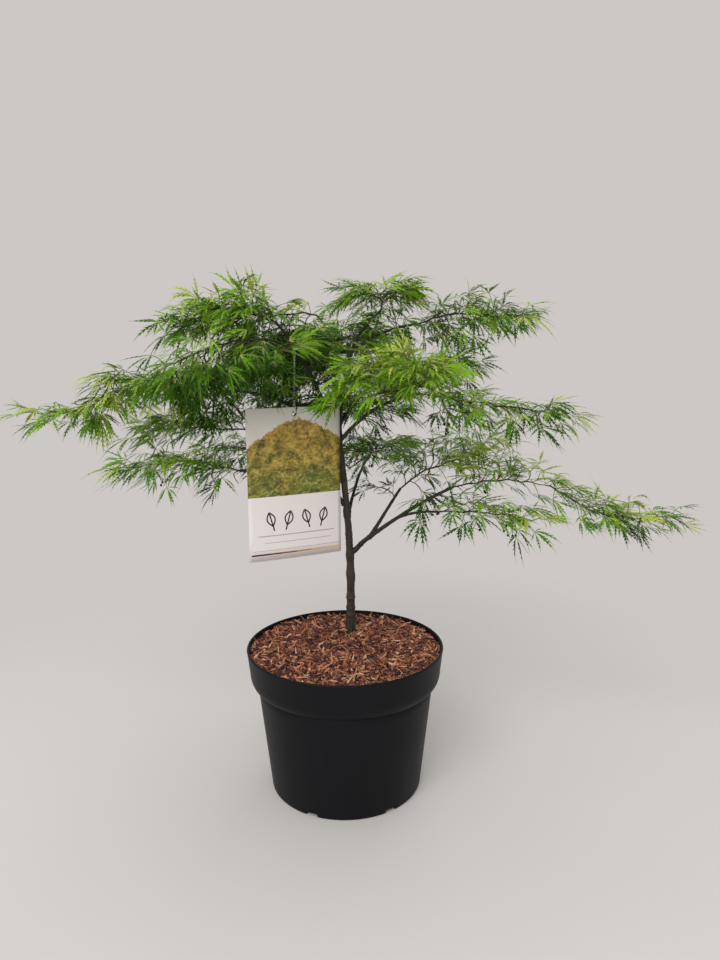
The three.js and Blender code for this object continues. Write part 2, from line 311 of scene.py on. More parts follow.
# %% Measure every limb
MASSES = {
    "crown_top": "top_limb", "crown_left": "crown_left_limb", "upper_right": "upper_right_bough",
    "upper_left": "upper_left_bough", "front_left": "front_left_limb", "left": "left_bough",
    "far_left": "left", "mid_left": "mid_left_bough", "low_left": "low_left_bough",
    "low_left_rear": "low_left_rear_limb", "low_rear": "low_rear_bough", "mid_right": "mid_right_bough",
    "front_right": "front_right_limb", "low_right": "low_right_arm", "far_right": "low_right",
    "low_right_front": "low_right_front_limb", "low_right_rear": "low_right_rear_limb",
    "rear_left": "rear_left_bough", "rear": "rear_bough", "rear_right": "rear_right_bough",
}
LIMBS = [name for name in sorted(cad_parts)
         if name == "leader" or name.endswith(("_bough", "_limb", "_arm"))]

trunk_spots = facets("trunk").reshape(-1, 3)
trunk_line = centre_line("trunk", start=trunk_spots[trunk_spots[:, 2].argmin()])


def nearest_on(line, spots):
    """The point of a line that is nearest to any of some spots."""
    return line[np.linalg.norm(line[:, None, :3] - spots, axis=2).min(1).argmin(), :3]


limb_line = {}
for name in LIMBS:
    inner_end = nearest_on(trunk_line, facets(name).reshape(-1, 3))
    limb_line[name] = centre_line(name, start=inner_end, back=4 * MM)
for name, line in limb_line.items():
    print(f"{name}: {1000 * line[0, 3]:.1f} to {1000 * line[-1, 3]:.1f} mm radius,",
          "tip", np.round(1000 * line[-1, :3]).astype(int).tolist())

# %% [markdown]
# ## Bark
#
# A young maple's bark is smooth and thin, nearly black on the boughs and olive-brown on the stem,
# with shallow lengthwise ridges, pale raised breathing pores and a swollen ring where a limb leaves.
# A displacement texture could fake the ridges, but a stem this thin is seen as an outline, so the
# ridges are in the mesh: rings of points are carried along the centre line and pushed in and out.


# %% Tubes with relief
def waves(round_turn, height, rng, turns, pitch, count=9):
    """Smooth uneven relief of about unit size on a tube: a sum of waves cos(m a + 2 pi z / p + phase).

    a is the angle round the tube, z the length along it, m whole numbers up to turns so that the
    relief closes on itself, and p lengths of around pitch.
    """
    total = np.zeros(np.broadcast(round_turn, height).shape)
    for _ in range(count):
        m = rng.integers(1, turns + 1)
        p = pitch * rng.uniform(0.6, 1.8) * rng.choice([-1, 1])
        total += np.cos(m * round_turn + 2 * np.pi * height / p + rng.uniform(0, 2 * np.pi))
    return total / math.sqrt(count / 2)


def tube(path, sides, relief=None):
    """A closed tube round rows of x, y, z, r: rings P + r (cos a U + sin a V), and a pole at each end.

    U is level and square to the path, V is square to both. relief(a, z) is added to the radius.
    Gives points, faces of four and three corners, and each point's place on the straightened tube.
    """
    spots, radius = path[:, :3], path[:, 3]
    way = unit(np.gradient(spots, axis=0))
    chord = unit(spots[-1] - spots[0])
    level = np.cross(chord, UP) if abs(chord[2]) < 0.985 else np.array([1.0, 0.0, 0.0])
    level = unit(level - (way @ level)[:, None] * way)
    third = np.cross(way, level)
    angle = np.arange(sides) * 2 * np.pi / sides
    run = np.concatenate([[0], np.cumsum(np.linalg.norm(np.diff(spots, axis=0), axis=1))])
    wide = radius[:, None] + (relief(angle[None], run[:, None]) if relief else np.zeros((1, sides)))
    spoke = np.cos(angle)[:, None] * level[:, None] + np.sin(angle)[:, None] * third[:, None]
    rings = (spots[:, None] + wide[..., None] * spoke).reshape(-1, 3)
    poles = [spots[0] - 0.5 * radius[0] * way[0], spots[-1] + 0.7 * radius[-1] * way[-1]]
    points = np.concatenate([rings, poles])
    straight = np.stack([wide * np.cos(angle), wide * np.sin(angle), run[:, None] + 0 * wide], axis=-1)
    straight = np.concatenate([straight.reshape(-1, 3), [[0, 0, 0], [0, 0, run[-1]]]])
    return points, capped_grid(len(path), sides), straight


RING_STEP = 1.5 * MM
COLLAR_FADE = 7 * MM
KNOT_GAP, KNOT_RISE, KNOT_HALF = 30 * MM, 0.12, 2.2 * MM
RIDGE_LENGTH, WRINKLE_LENGTH = 26 * MM, 6 * MM


def bark_tube(line, sides, seed, ridge, collar, swellings=()):
    """A limb with ridges of the given height, swollen by the collar at its foot and at its knots.

    Each swelling is a height, a share by which the limb is thicker there and a length it fades over.
    """
    rng = np.random.default_rng(seed)
    path = resampled(line, RING_STEP)
    run = np.linspace(0, 1, len(path)) * np.linalg.norm(np.diff(path[:, :3], axis=0), axis=1).sum()
    path[:, 3] *= 1 + collar * np.exp(-run / COLLAR_FADE)
    knots = rng.uniform(0.1, 0.95, max(2, int(run[-1] / KNOT_GAP))) * run[-1]
    path[:, 3] += KNOT_RISE * path[:, 3] * np.exp(-(((run[:, None] - knots) / KNOT_HALF) ** 2)).sum(1)
    for height, share, fade in swellings:
        path[:, 3] *= 1 + share * np.exp(-(((path[:, 2] - height) / fade) ** 2))
    fine = [rng.spawn(1)[0], rng.spawn(1)[0]]

    def relief(angle, height):
        ridges = waves(angle, height, fine[0], 7, RIDGE_LENGTH)
        wrinkles = waves(angle, height, fine[1], 4, WRINKLE_LENGTH)
        return ridge * (ridges + 0.6 * wrinkles) / 2

    return tube(path, sides, relief)


def bark_piece(name, tubes, material, replaces):
    """Joins tubes into one piece that carries the straightened tubes' coordinates as an attribute,
    each tube's moved on a little so that no two are streaked alike.
    """
    points, faces = gather([(points, faces) for points, faces, _ in tubes])
    made = piece(name, points, faces, [material], replaces=replaces)
    straight = np.concatenate([straight + 0.37 * index for index, (_, _, straight) in enumerate(tubes)])
    made.data.attributes.new("straight", "FLOAT_VECTOR", "POINT").data.foreach_set(
        "vector", straight.astype(np.float32).ravel())


# %% [markdown]
# The bark's colours follow the limb and not the room, so they are laid out on the straightened
# limb: long streaks of olive and brown, small pale pores that lie crosswise, and a dull waxy sheen.


# %% Bark finish
def bark(name, dark, light, warm):
    """Thin living maple bark: olive to near black, streaked lengthwise, with pale pores across it."""
    material, tree, shader = finish(name, dark, 0.62)
    limb = add(tree, "Attribute", {}, out="Vector", attribute_name="straight")
    drawn_out = add(tree, "Mapping", {"Vector": limb, "Scale": (1, 1, 0.16)})
    streak = add(tree, "TexNoise", {"Vector": drawn_out, "Scale": 420.0, "Detail": 4.0})
    patch = add(tree, "TexNoise", {"Vector": limb, "Scale": 55.0, "Detail": 3.0})
    flattened = add(tree, "Mapping", {"Vector": limb, "Scale": (1, 1, 2.4)})
    pore = add(tree, "TexVoronoi", {"Vector": flattened, "Scale": 330.0})
    spot = add(tree, "MapRange", {"Value": pore, "From Min": 0.20, "From Max": 0.10})
    lit = add(tree, "MapRange", {"Value": streak, "From Min": 0.38, "From Max": 0.68})
    brown = add(tree, "MapRange", {"Value": patch, "From Min": 0.45, "From Max": 0.68})
    ground = add(tree, "MixRGB", {"Fac": lit, "Color1": linear(dark), "Color2": linear(light)})
    tinted = add(tree, "MixRGB", {"Fac": brown, "Color1": ground, "Color2": linear(warm)})
    pale = add(tree, "Math", {0: spot, 1: 0.45}, operation="MULTIPLY")
    whole = add(tree, "MixRGB", {"Fac": pale, "Color1": tinted, "Color2": linear("#7d705c")})
    rough = add(tree, "MapRange", {"Value": streak, "To Min": 0.5, "To Max": 0.75})
    height = add(tree, "Math", {0: streak, 1: spot}, operation="ADD")
    bump = add(tree, "Bump", {"Height": height, "Distance": 0.4 * MM, "Strength": 0.7})
    feed(shader, {"Base Color": whole, "Roughness": rough, "Normal": bump})
    return material


stem_bark = bark("olive_maple_bark", "#1a1b12", "#343524", "#432c22")
bough_bark = bark("dark_maple_bark", "#14110e", "#2c2720", "#33241e")
twig_bark = bark("young_twig_bark", "#1d1712", "#382a1f", "#48291e")

# %% Trunk and boughs
# Swellings of the stem: height, share by which it is thicker, and the length that fades over.
GRAFT, FORK, OLD_CUT = (0.269, 0.14, 9 * MM), (0.298, 0.22, 6 * MM), (0.360, 0.24, 5 * MM)

trunk_tube = bark_tube(trunk_line, 36, 11, 0.35 * MM, 0.0, swellings=(GRAFT, FORK, OLD_CUT))
bark_piece("trunk_bark", [trunk_tube], stem_bark, ["trunk"])
bough_tubes = [bark_tube(line, 14, 20 + index, 0.16 * MM, 0.45)
               for index, line in enumerate(limb_line.values())]
bark_piece("bough_bark", bough_tubes, bough_bark, LIMBS)

# %% [markdown]
# ## Twigs that grow on from the limbs
#
# Twigs could be drawn by a fixed forking rule, but then they would run out of the crown or bunch
# up in it. Here they compete for light, a rule known as space colonisation: points of free air are
# scattered where leaves are wanted, each one pulls on the nearest twig, every pulled twig grows a
# step the way it is pulled, and a point that has been reached is taken away. A leading shoot runs
# down the middle of each mass first, so the long arches stay legible. Thickness follows the old
# pipe rule: a shoot's cross-section is that of all the shoots it carries.

# %% Growth rule
STEP = 8 * MM
REACHED = 14 * MM
AIR = 18 * MM
ROUNDS = 24
TWIG_TIP = 0.42 * MM
PIPE = 2.3
CARRIED = 0.75  # share of a shoot's load that it hands on, under one so that twigs stay thin
KEEP_ON, DROOP = 0.8, 0.06  # weight of a shoot's heading against its pull, and of its own weight
CROWDED = 0.4 * STEP  # a shoot doesn't grow nearer than this to another
DRAWN_IN = [0.7, 0.7, 0.5]  # share of its distance from the leading shoot that free air keeps
END_TAPER = 0.6
BESIDE_LOW, BESIDE_HIGH = [-50, -50, -20], [50, 50, 24]  # mm from the limb


def inside(spots, faces):
    """Which points lie in a closed solid: those with an odd number of its facets straight above them."""
    a, b, c = faces[:, 0], faces[:, 1], faces[:, 2]
    area = (b[:, 0] - a[:, 0]) * (c[:, 1] - a[:, 1]) - (b[:, 1] - a[:, 1]) * (c[:, 0] - a[:, 0])
    a, b, c, area = (part[np.abs(area) > 1e-12] for part in (a, b, c, area))
    dx, dy = spots[:, None, 0] - a[:, 0], spots[:, None, 1] - a[:, 1]
    along_b = (dx * (c - a)[:, 1] - dy * (c - a)[:, 0]) / area
    along_c = (dy * (b - a)[:, 0] - dx * (b - a)[:, 1]) / area
    over = (along_b >= 0) & (along_c >= 0) & (along_b + along_c <= 1)
    roof = a[:, 2] + along_b * (b - a)[:, 2] + along_c * (c - a)[:, 2]
    return ((over & (roof > spots[:, None, 2])).sum(1) % 2).astype(bool)


def free_air(mass, lead, rng):
    """Points of free air in a mass, drawn in towards its leading shoot.

    At share s of the shoot's length the air keeps DRAWN_IN (1 - END_TAPER s s) of its distance from
    the shoot, so the mass ends in a tip.
    """
    faces = facets(mass)
    low, high = faces.min((0, 1)), faces.max((0, 1))
    tries = rng.uniform(low, high, (int(AIR_SHARE.get(mass, 1) * np.prod(high - low) / AIR ** 3), 3))
    tries = tries[inside(tries, faces)]
    near = np.linalg.norm(tries[:, None] - lead[:, :3], axis=2).argmin(1)
    taper = 1 - END_TAPER * (near / len(lead))[:, None] ** 2
    lift = LIFT.get(mass, USUAL_LIFT) * MM * UP
    return lead[near] + (tries - lead[near]) * DRAWN_IN * taper + lift * taper


def side_air(limb, bare, gap, rng):
    """Points of free air beside and above the leafy end of a limb, one for each gap of its length."""
    leafy = limb[int(bare * len(limb)):, :3]
    count = int(np.linalg.norm(np.diff(leafy, axis=0), axis=1).sum() / gap)
    beside = rng.uniform(BESIDE_LOW, BESIDE_HIGH, (count, 3)) * MM
    return leafy[rng.integers(0, len(leafy), count)] + beside


card_spots = facets("label_card").reshape(-1, 3)
CARD_LOW = card_spots.min(0) - np.array([4, 90, 0]) * MM
CARD_HIGH = card_spots.max(0) + np.array([4, 8, -6]) * MM


def before_card(spots):
    """Which points would cut through the label or hide it: those in its box or up to 90 mm before it."""
    return ((spots > CARD_LOW) & (spots < CARD_HIGH)).all(1)


def grow(lead, air):
    """Space colonisation from a leading shoot; gives the points and each point's parent.

    A shoot's next way is unit(mean pull of its air + KEEP_ON heading - DROOP up), one STEP long.
    """
    spots = list(lead)
    parent = list(range(-1, len(lead) - 1))
    heading = list(unit(np.gradient(lead, axis=0)))
    for _ in range(ROUNDS):
        gap = np.linalg.norm(air[:, None] - np.array(spots), axis=2)
        nearest = gap.argmin(1)
        open_air = gap.min(1) > REACHED
        air, nearest = air[open_air], nearest[open_air]
        for tip in np.unique(nearest):
            pull = unit(air[nearest == tip] - spots[tip]).mean(0)
            way = unit(pull + KEEP_ON * heading[tip] - DROOP * UP)
            fresh = spots[tip] + STEP * way
            if np.linalg.norm(np.array(spots) - fresh, axis=1).min() > CROWDED:
                spots.append(fresh)
                parent.append(int(tip))
                heading.append(way)
    return np.array(spots), np.array(parent)


def thickness(parent, base):
    """Radius at each point by the pipe rule, r to the PIPE adding up, held under the limb's radius."""
    load = np.zeros(len(parent))
    for child in range(len(parent) - 1, 0, -1):
        load[child] += TWIG_TIP ** PIPE
        load[parent[child]] += CARRIED * load[child]
    return np.minimum(np.maximum(load, TWIG_TIP ** PIPE) ** (1 / PIPE), base)


def shoots(parent, radius):
    """The tree as paths of rows x, y, z, r: each runs on through the thicker child to a tip."""
    children = [[] for _ in parent]
    for child in range(1, len(parent)):
        children[parent[child]].append(child)
    found, waiting = [], [(0, None)]
    while waiting:
        start, fork = waiting.pop()
        run = [start]
        while children[run[-1]]:
            order = sorted(children[run[-1]], key=lambda child: -radius[child])
            waiting += [(child, run[-1]) for child in order[1:]]
            run.append(order[0])
        found.append(((fork,) if fork is not None else ()) + tuple(run))
    return found


def rounded(path, times=2):
    """Chaikin's corner cutting: each span gives a point at its quarter and three-quarter marks."""
    for _ in range(times):
        quarter = 0.75 * path[:-1] + 0.25 * path[1:]
        later = 0.25 * path[:-1] + 0.75 * path[1:]
        between = np.stack([quarter, later], axis=1).reshape(-1, path.shape[1])
        path = np.concatenate([path[:1], between[1:-1], path[-1:]])
    return path


# %% [markdown]
# Each mass has its own habit, as the tiers of a real plant do, and most of that habit is how much
# air it is offered. The tables below hold only what differs from the usual value.

# %% Habit of each limb and mass
USUAL_BARE, USUAL_SIDE_GAP, USUAL_LIFT, USUAL_REACH, USUAL_FULLNESS = 0.35, 16, 2, 0.8, 0.8
BARE = {  # share of a limb that bears no leaves
    "low_right_arm": 0.75, "low_left_bough": 0.6, "low_right_rear_limb": 0.5, "left_bough": 0.2,
    "upper_left_bough": 0.12, "front_left_limb": 0.1, "crown_left_limb": 0.45,
    "mid_right_bough": 0.8, "low_right_front_limb": 0.6, "front_right_limb": 0.1, "top_limb": 0.5,
}
SIDE_GAP = {  # mm of leafy limb to each point of air beside it
    "upper_left_bough": 5, "front_left_limb": 5, "crown_left_limb": 30, "front_right_limb": 6,
    "left_bough": 5, "rear_left_bough": 9,
}
LIFT = {  # mm by which a mass's air is raised
    "crown_left": -52, "crown_top": 8, "upper_left": 8, "front_left": -26, "left": -4, "mid_left": 10,
    "front_right": 22, "mid_right": -2, "low_right": 16, "low_right_rear": 16,
    "low_right_front": 10, "far_right": 5,
}
AIR_SHARE = {  # points of air to each cube of side AIR
    "upper_left": 1.7, "front_left": 1.6, "left": 2.4, "front_right": 1.4, "crown_left": 1.2,
    "mid_right": 0.8, "low_right": 0.6, "low_right_front": 0.6, "low_right_rear": 0.6,
    "upper_right": 0.7, "rear_right": 0.7, "low_left": 0.55, "low_left_rear": 0.8, "mid_left": 0.8,
    "low_rear": 0.7, "far_left": 0.9, "far_right": 1.3, "crown_top": 0.9,
}
REACH = {  # share of a mass's length that its leading shoot runs
    "far_right": 0.75, "far_left": 0.75, "rear": 0.55, "rear_left": 0.65, "rear_right": 0.65,
    "low_right_rear": 0.7, "upper_left": 0.95, "front_left": 0.9, "crown_left": 0.95,
}
FULLNESS = {  # share of the places on a mass's twigs that bear a pair of leaves
    "low_right": 0.5, "low_right_front": 0.5, "low_right_rear": 0.5, "far_right": 0.85,
    "low_left": 0.5, "low_left_rear": 0.5, "low_rear": 0.6, "upper_left": 1.0, "front_left": 1.0,
    "far_left": 0.65, "front_right": 1.0, "left": 1.0, "upper_right": 0.7, "mid_right": 0.7,
    "rear_right": 0.7,
}

# %% Grow every mass
NECK = 14  # of LINE_POINTS, the ones in the narrow neck where a mass meets its limb
LEAD_POINTS_APART = 9  # of LINE_POINTS, so that the leading shoot is bent in only a few places
KINK = 0.9 * MM
SIDE_SHOOT = 1.1 * MM

lead_line = {}
grown = {}
for index, (mass, feeder) in enumerate(MASSES.items()):
    rng = np.random.default_rng(100 + index)
    behind, beside = np.empty((0, 3)), np.empty((0, 3))
    if feeder in limb_line:
        limb, bare = limb_line[feeder], BARE.get(feeder, USUAL_BARE)
        start, base = limb[-1, :3], limb[-1, 3]
        behind = resampled(limb[int(bare * len(limb)):, :3], STEP)[:-1]
        beside = side_air(limb, bare, SIDE_GAP.get(feeder, USUAL_SIDE_GAP) * MM, rng)
    else:
        reach = facets(mass).mean((0, 1))
        near = np.linalg.norm(lead_line[feeder] - reach, axis=1).argmin()
        start, base = lead_line[feeder][near], SIDE_SHOOT
    middle = centre_line(mass, start=start, order=3, along=REACH.get(mass, USUAL_REACH))[NECK:, :3]
    lead = resampled(rounded(np.concatenate([[start], middle[::LEAD_POINTS_APART]])), STEP)
    lead[2:] += rng.normal(0, KINK, lead[2:].shape)
    lead += np.linspace(0, 0.5 * LIFT.get(mass, USUAL_LIFT) * MM, len(lead))[:, None] * UP
    lead_line[mass] = lead
    air = np.concatenate([free_air(mass, lead, rng), beside])
    air = air[~before_card(air)]
    spots, parent = grow(np.concatenate([behind, lead]), air)
    radius = thickness(parent, base)
    runs = shoots(parent, radius)
    runs[0] = runs[0][len(behind):]
    grown[mass] = (spots, radius, runs)
print("twig points:", sum(len(spots) for spots, *_ in grown.values()))

# %% [markdown]
# ## Leaves
#
# A leaf of a cut-leaf maple is a hand of seven lobes that spring from one pale point at the end of
# a long stalk. Each lobe is cut again, nearly to its rib, into narrow forward teeth, and ends in a
# long thread. A picture of a leaf on a flat card would be the cheap way, but it has no outline of
# its own when it is seen edge on. Here one lobe is a ribbon of three faces crossed by four chevrons
# for its slender teeth, 49 faces to a leaf, and it sags under its own weight as it runs out. All
# leaves of a tier are worked out together, in one array of leaf by lobe by corner.

# %% Leaf shape
LOBE_TURN = np.radians([0, 19, -19, 42, -42, 72, -72])
LOBE_REACH = np.array([1.0, 0.95, 0.95, 0.8, 0.8, 0.5, 0.5])
BEND_AT = np.linspace(0, 1, 6)
RIB = np.array([(0.0, 0.010), (0.32, 0.025), (0.67, 0.016), (1.0, 0.0012)])  # place, half-width
TEETH = np.array([(0.17, 0.072), (0.29, 0.098), (0.42, 0.088), (0.55, 0.062)])  # place, reach
TOOTH_FOOT, TOOTH_LEAN = 0.125, 0.19  # a tooth's width at its rib, and how far forward it points


def lobe_pattern():
    """Corners of a flat lobe as (share of its length, half-width as a share of length), and its faces.

    The rib is a ribbon of three faces, and each pair of teeth is one face, a chevron across the rib.
    """
    ribbon = [(along, sign * half) for along, half in RIB for sign in (1, -1)]
    row = 2 * np.arange(len(RIB) - 1)
    teeth = [spot for along, out in TEETH for spot in (
        (along, 0), (along + TOOTH_LEAN, -out), (along + TOOTH_FOOT, 0), (along + TOOTH_LEAN, out))]
    chevrons = len(ribbon) + np.arange(len(teeth)).reshape(-1, 4)
    strip = np.stack([row, row + 1, row + 3, row + 2], axis=1)
    return np.array(ribbon + teeth), np.concatenate([strip, chevrons])


LOBE, LOBE_FACES = lobe_pattern()
BETWEEN = np.stack([np.interp(LOBE[:, 0], BEND_AT, row) for row in np.eye(len(BEND_AT))], axis=1)


def hands(centre, ahead, side, size, sag, rng, width):
    """Leaves: from each centre, lobes turned by LOBE_TURN about the leaf's normal. A lobe's rib is
    followed in steps with direction d(t) = unit(d0 + sag t down), a corner at share t lies between
    the two nearest steps, and it is moved off the rib by its half-width times the lobe's length.
    Turn, lift, length, sag and sway all vary a little from lobe to lobe.
    """
    count = len(centre)
    normal = np.cross(ahead, side)
    turn = LOBE_TURN + rng.normal(0, 0.14, (count, 7))
    lift = rng.normal(0.05, 0.16, (count, 7))
    set_out = (np.cos(turn)[..., None] * ahead[:, None] + np.sin(turn)[..., None] * side[:, None]
               + lift[..., None] * normal[:, None])
    length = size[:, None] * LOBE_REACH * rng.uniform(0.8, 1.12, (count, 7))
    bend = (sag[:, None] * rng.uniform(0.6, 1.4, (count, 7)))[..., None, None]
    sway = rng.normal(0, 0.2, (count, 7, 1, 3))
    way = unit(set_out[:, :, None] + (BEND_AT[:, None] ** 1.2) * (bend * -UP + sway))
    stride = np.diff(BEND_AT, prepend=0.0)[:, None] * length[..., None, None]
    rib = centre[:, None, None] + np.cumsum(stride * way, axis=2)
    across = unit(np.cross(normal[:, None, None], way) + 1e-6) * length[..., None, None]
    points = BETWEEN @ rib + (width * LOBE[:, 1])[:, None] * (BETWEEN @ across)
    starts = len(LOBE) * np.arange(count * 7)[:, None, None]
    return points.reshape(-1, 3), [(LOBE_FACES + starts).reshape(-1, 4)]


# %% [markdown]
# Leaves stand in opposite pairs on the thin shoots, each pair turned a quarter turn from the last,
# and their stalks bend so that every blade faces the light. So a stalk leaves its shoot sideways
# and forwards, and the blade streams outwards and down from the end of it.


# %% Where the leaves are
def leaf_spots(mass, rng):
    """Rows of place, shoot direction, turn round the shoot and steps to its tip, one for each leaf."""
    spots, radius, runs = grown[mass]
    rows = []
    for run in runs:
        path = spots[list(run)]
        if len(path) < 2:
            continue
        way = unit(np.gradient(path, axis=0))
        from_tip = np.arange(len(run))[::-1]
        bears = (radius[list(run)] < LEAFY) & (rng.random(len(run)) < FULLNESS.get(mass, USUAL_FULLNESS))
        bears[0] = False
        bears[-1] = True
        for place in np.flatnonzero(bears):
            quarter = 0.5 * np.pi * (place % 2) + rng.normal(0, 0.35)
            for half in (0, np.pi):
                rows.append((*path[place], *way[place], quarter + half, from_tip[place]))
    return np.array(rows)


def stalked(rows, rng):
    """Stalk start, stalk direction and blade axes for rows of place, shoot direction, turn, age."""
    foot, along, turn = rows[:, :3], rows[:, 3:6], rows[:, 6:7]
    level = unit(np.cross(along, UP) + 1e-4)
    upper = np.cross(level, along)
    round_shoot = np.cos(turn) * level + 0.6 * np.sin(turn) * upper
    stalk = unit(0.75 * round_shoot + 0.6 * along + 0.2 * UP + rng.normal(0, 0.15, foot.shape))
    ahead = 1.3 * along + 0.55 * stalk - 0.15 * UP + rng.normal(0, 0.16, foot.shape)
    ahead[:, 2] = ahead[:, 2].clip(-0.7, 0.3)
    ahead = unit(ahead)
    side = unit(np.cross(UP + rng.normal(0, 0.4, foot.shape), ahead))
    return foot, stalk, ahead, side


STALK = (12 * MM, 26 * MM)
BLADE = (33 * MM, 48 * MM)
LEAFY = 1.2 * MM  # thicker shoots bear no leaves
OVER = 0.03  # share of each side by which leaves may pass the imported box

rng = np.random.default_rng(7)
rows = [leaf_spots(mass, rng) for mass in MASSES]
owner = np.repeat(np.arange(len(rows)), [len(part) for part in rows])
rows = np.concatenate(rows)
foot, stalk, ahead, side = stalked(rows, rng)
reach = rng.uniform(*STALK, len(foot))[:, None]
mid = foot + 0.55 * reach * stalk
centre = foot + reach * stalk - 0.16 * reach * UP
size = rng.uniform(*BLADE, len(foot))
sag = rng.uniform(0.25, 1.2, len(foot))
print("leaves:", len(foot))

tip = centre + size[:, None] * (ahead - 0.3 * sag[:, None] * UP)
low, high = np.array(cad_box)
room = OVER * (high - low) - 2 * MM
clear = ((tip > low - room) & (tip < high + room)).all(1)
for spot in (centre, 0.5 * (centre + tip), tip):
    clear &= ~before_card(spot)
rows, owner, foot, mid, centre, ahead, side, size, sag = (
    part[clear] for part in (rows, owner, foot, mid, centre, ahead, side, size, sag))

# %% [markdown]
# Leaf colours are plain and dealt out by spray, and most of their spread is painted light and shade:
# each leaf gets a score that rises with its height in its tier and in the crown, with its distance
# from the stem, and towards the front and the left, where more light falls. The newest leaves at the
# ends of the outer shoots are lime and a little larger; the ones on top are painted lit, the highest
# lime, and the ones under and behind are painted in shade.

# %% Leaf finishes
# The darkest green is painted shade and the bright green painted light; lime is the young leaves' own colour,
# and also painted light on the best lit leaves.
LEAF_GREENS = {
    "painted_shade_leaf": "#2e5212", "mid_leaf": "#538216", "painted_light_leaf": "#78a622",
    "lime_and_painted_light_leaf": "#a2b648", "olive_leaf": "#8f9a28", "leaf_heart": "#93a452",
}


def thin_skin(name, colour):
    """A leaf's waxy skin, a stalk's, a dry husk's or a film of ink: one colour, satin, and a faint
    unevenness that breaks the sheen, with veins too fine to show as more than bump.
    """
    material, tree, shader = finish(name, colour, 0.5, Specular_IOR_Level=0.12)
    here = add(tree, "TexCoord", {}, out="Object")
    vein = add(tree, "TexNoise", {"Vector": here, "Scale": 600.0, "Detail": 2.0})
    rough = add(tree, "MapRange", {"Value": vein, "To Min": 0.42, "To Max": 0.62})
    bump = add(tree, "Bump", {"Height": vein, "Distance": 0.3 * MM, "Strength": 0.4})
    feed(shader, {"Roughness": rough, "Normal": bump})
    return material


leaf_materials = [thin_skin(name, colour) for name, colour in LEAF_GREENS.items()]
PAINTED_SHADE, MID, PAINTED_LIGHT, LIME_AND_PAINTED_LIGHT, OLIVE, HEART = range(6)


def leafy_piece(name, points, faces, shade):
    """A piece of leaves, each in its dealt green with painted light and shade, every lobe's foot pale."""
    dealt = np.repeat(shade, 7 * len(LOBE_FACES)).reshape(-1, len(LOBE_FACES))
    dealt[:, 0] = HEART
    piece(name, points, faces, leaf_materials, dealt.ravel())


# %% Deal the colours and make the leaves
PIECE_LEAVES = 2000

mass_middle = np.array([facets(mass).mean((0, 1)) for mass in MASSES])
mass_tall = np.array([np.ptp(facets(mass)[..., 2]) for mass in MASSES])
# The score is painted light and shade: it rises where more light falls, and leaves are painted
# lighter or darker by it. Its weights are for height in the tier, height in the crown, distance from
# the stem and distance to the rear; the middle value of each is taken off, so that the score is near
# nought.
out = np.linalg.norm((centre - trunk_line[-1, :3])[:, :2], axis=1)
raised = (centre[:, 2] - mass_middle[owner, 2]) / mass_tall[owner]
light = (1.6 * raised + 1.2 * (centre[:, 2] - 0.42) + 1.1 * (out - 0.15).clip(None, 0.2)
         - 0.8 * (centre[:, 1] - 0.08) + rng.normal(0, 0.28, len(centre)))
# Leaves towards the left, the side of the key lamp, get more painted light.
light += 1.4 * (-0.12 - centre[:, 0]).clip(0, 0.2)
# Low scores are painted in shade, high ones painted lit and the highest lime; some lit leaves turn olive at
# random.
shade = np.select([light < -0.2, light < 0.3, light < 1.05], [PAINTED_SHADE, MID, PAINTED_LIGHT], LIME_AND_PAINTED_LIGHT)
shade[(rng.random(len(shade)) < 0.07) & (shade == PAINTED_LIGHT)] = OLIVE
young = (rows[:, 7] == 0) & (out > 0.24) & (rng.random(len(shade)) < 0.35)
shade[young] = LIME_AND_PAINTED_LIGHT
size[young] *= 1.15

order = np.argsort(-centre[:, 2])
for index, part in enumerate(np.array_split(order, math.ceil(len(order) / PIECE_LEAVES))):
    points, faces = hands(centre[part], ahead[part], side[part], size[part], sag[part], rng, width=0.85)
    leafy_piece(f"leaves_tier_{index + 1}", points, faces, shade[part])

# %% Twigs and leaf stalks
twig_tubes = []
for spots, radius, runs in grown.values():
    for run in runs:
        path = np.column_stack([spots[list(run)], radius[list(run)]])
        if len(path) > 1:
            path[0, 3] = min(path[0, 3], 1.2 * path[1, 3])
            twig_tubes.append(tube(rounded(path, 1), 5))
bark_piece("twigs", twig_tubes, twig_bark, list(MASSES))

stalk_paths = np.stack([foot, mid, centre], axis=1)
stalk_radius = np.array([0.5, 0.4, 0.36]) * MM
stalk_material = thin_skin("leaf_stalk", "#56632a")
stalk_tubes = [tube(np.column_stack([path, stalk_radius]), 3)[:2] for path in stalk_paths]
points, faces = gather(stalk_tubes)
piece("leaf_stalks", points, faces, [stalk_material])

# %% [markdown]
# Two leftovers of the spring hang among the lower boughs: flower stalks that set no seed, each
# ending in a few dark knobs, and small dead leaves that have dried tan and curled up.

# %% Old flower stalks and dead leaves
FLOWERED = ("low_rear", "low_rear", "front_right", "low_right", "low_right", "low_right_front",
            "low_right_front", "low_right_front", "mid_right", "mid_right", "low_left",
            "low_right_rear", "low_right_rear")
DRIED = ("low_right", "low_right", "low_right_rear", "low_right_rear", "low_rear",
         "low_right_front", "left", "mid_right", "low_left")
BALL = np.array([-0.8, 0.0, 0.8])  # heights of a ball's rings, as shares of its radius
KNOB = 1.7 * MM

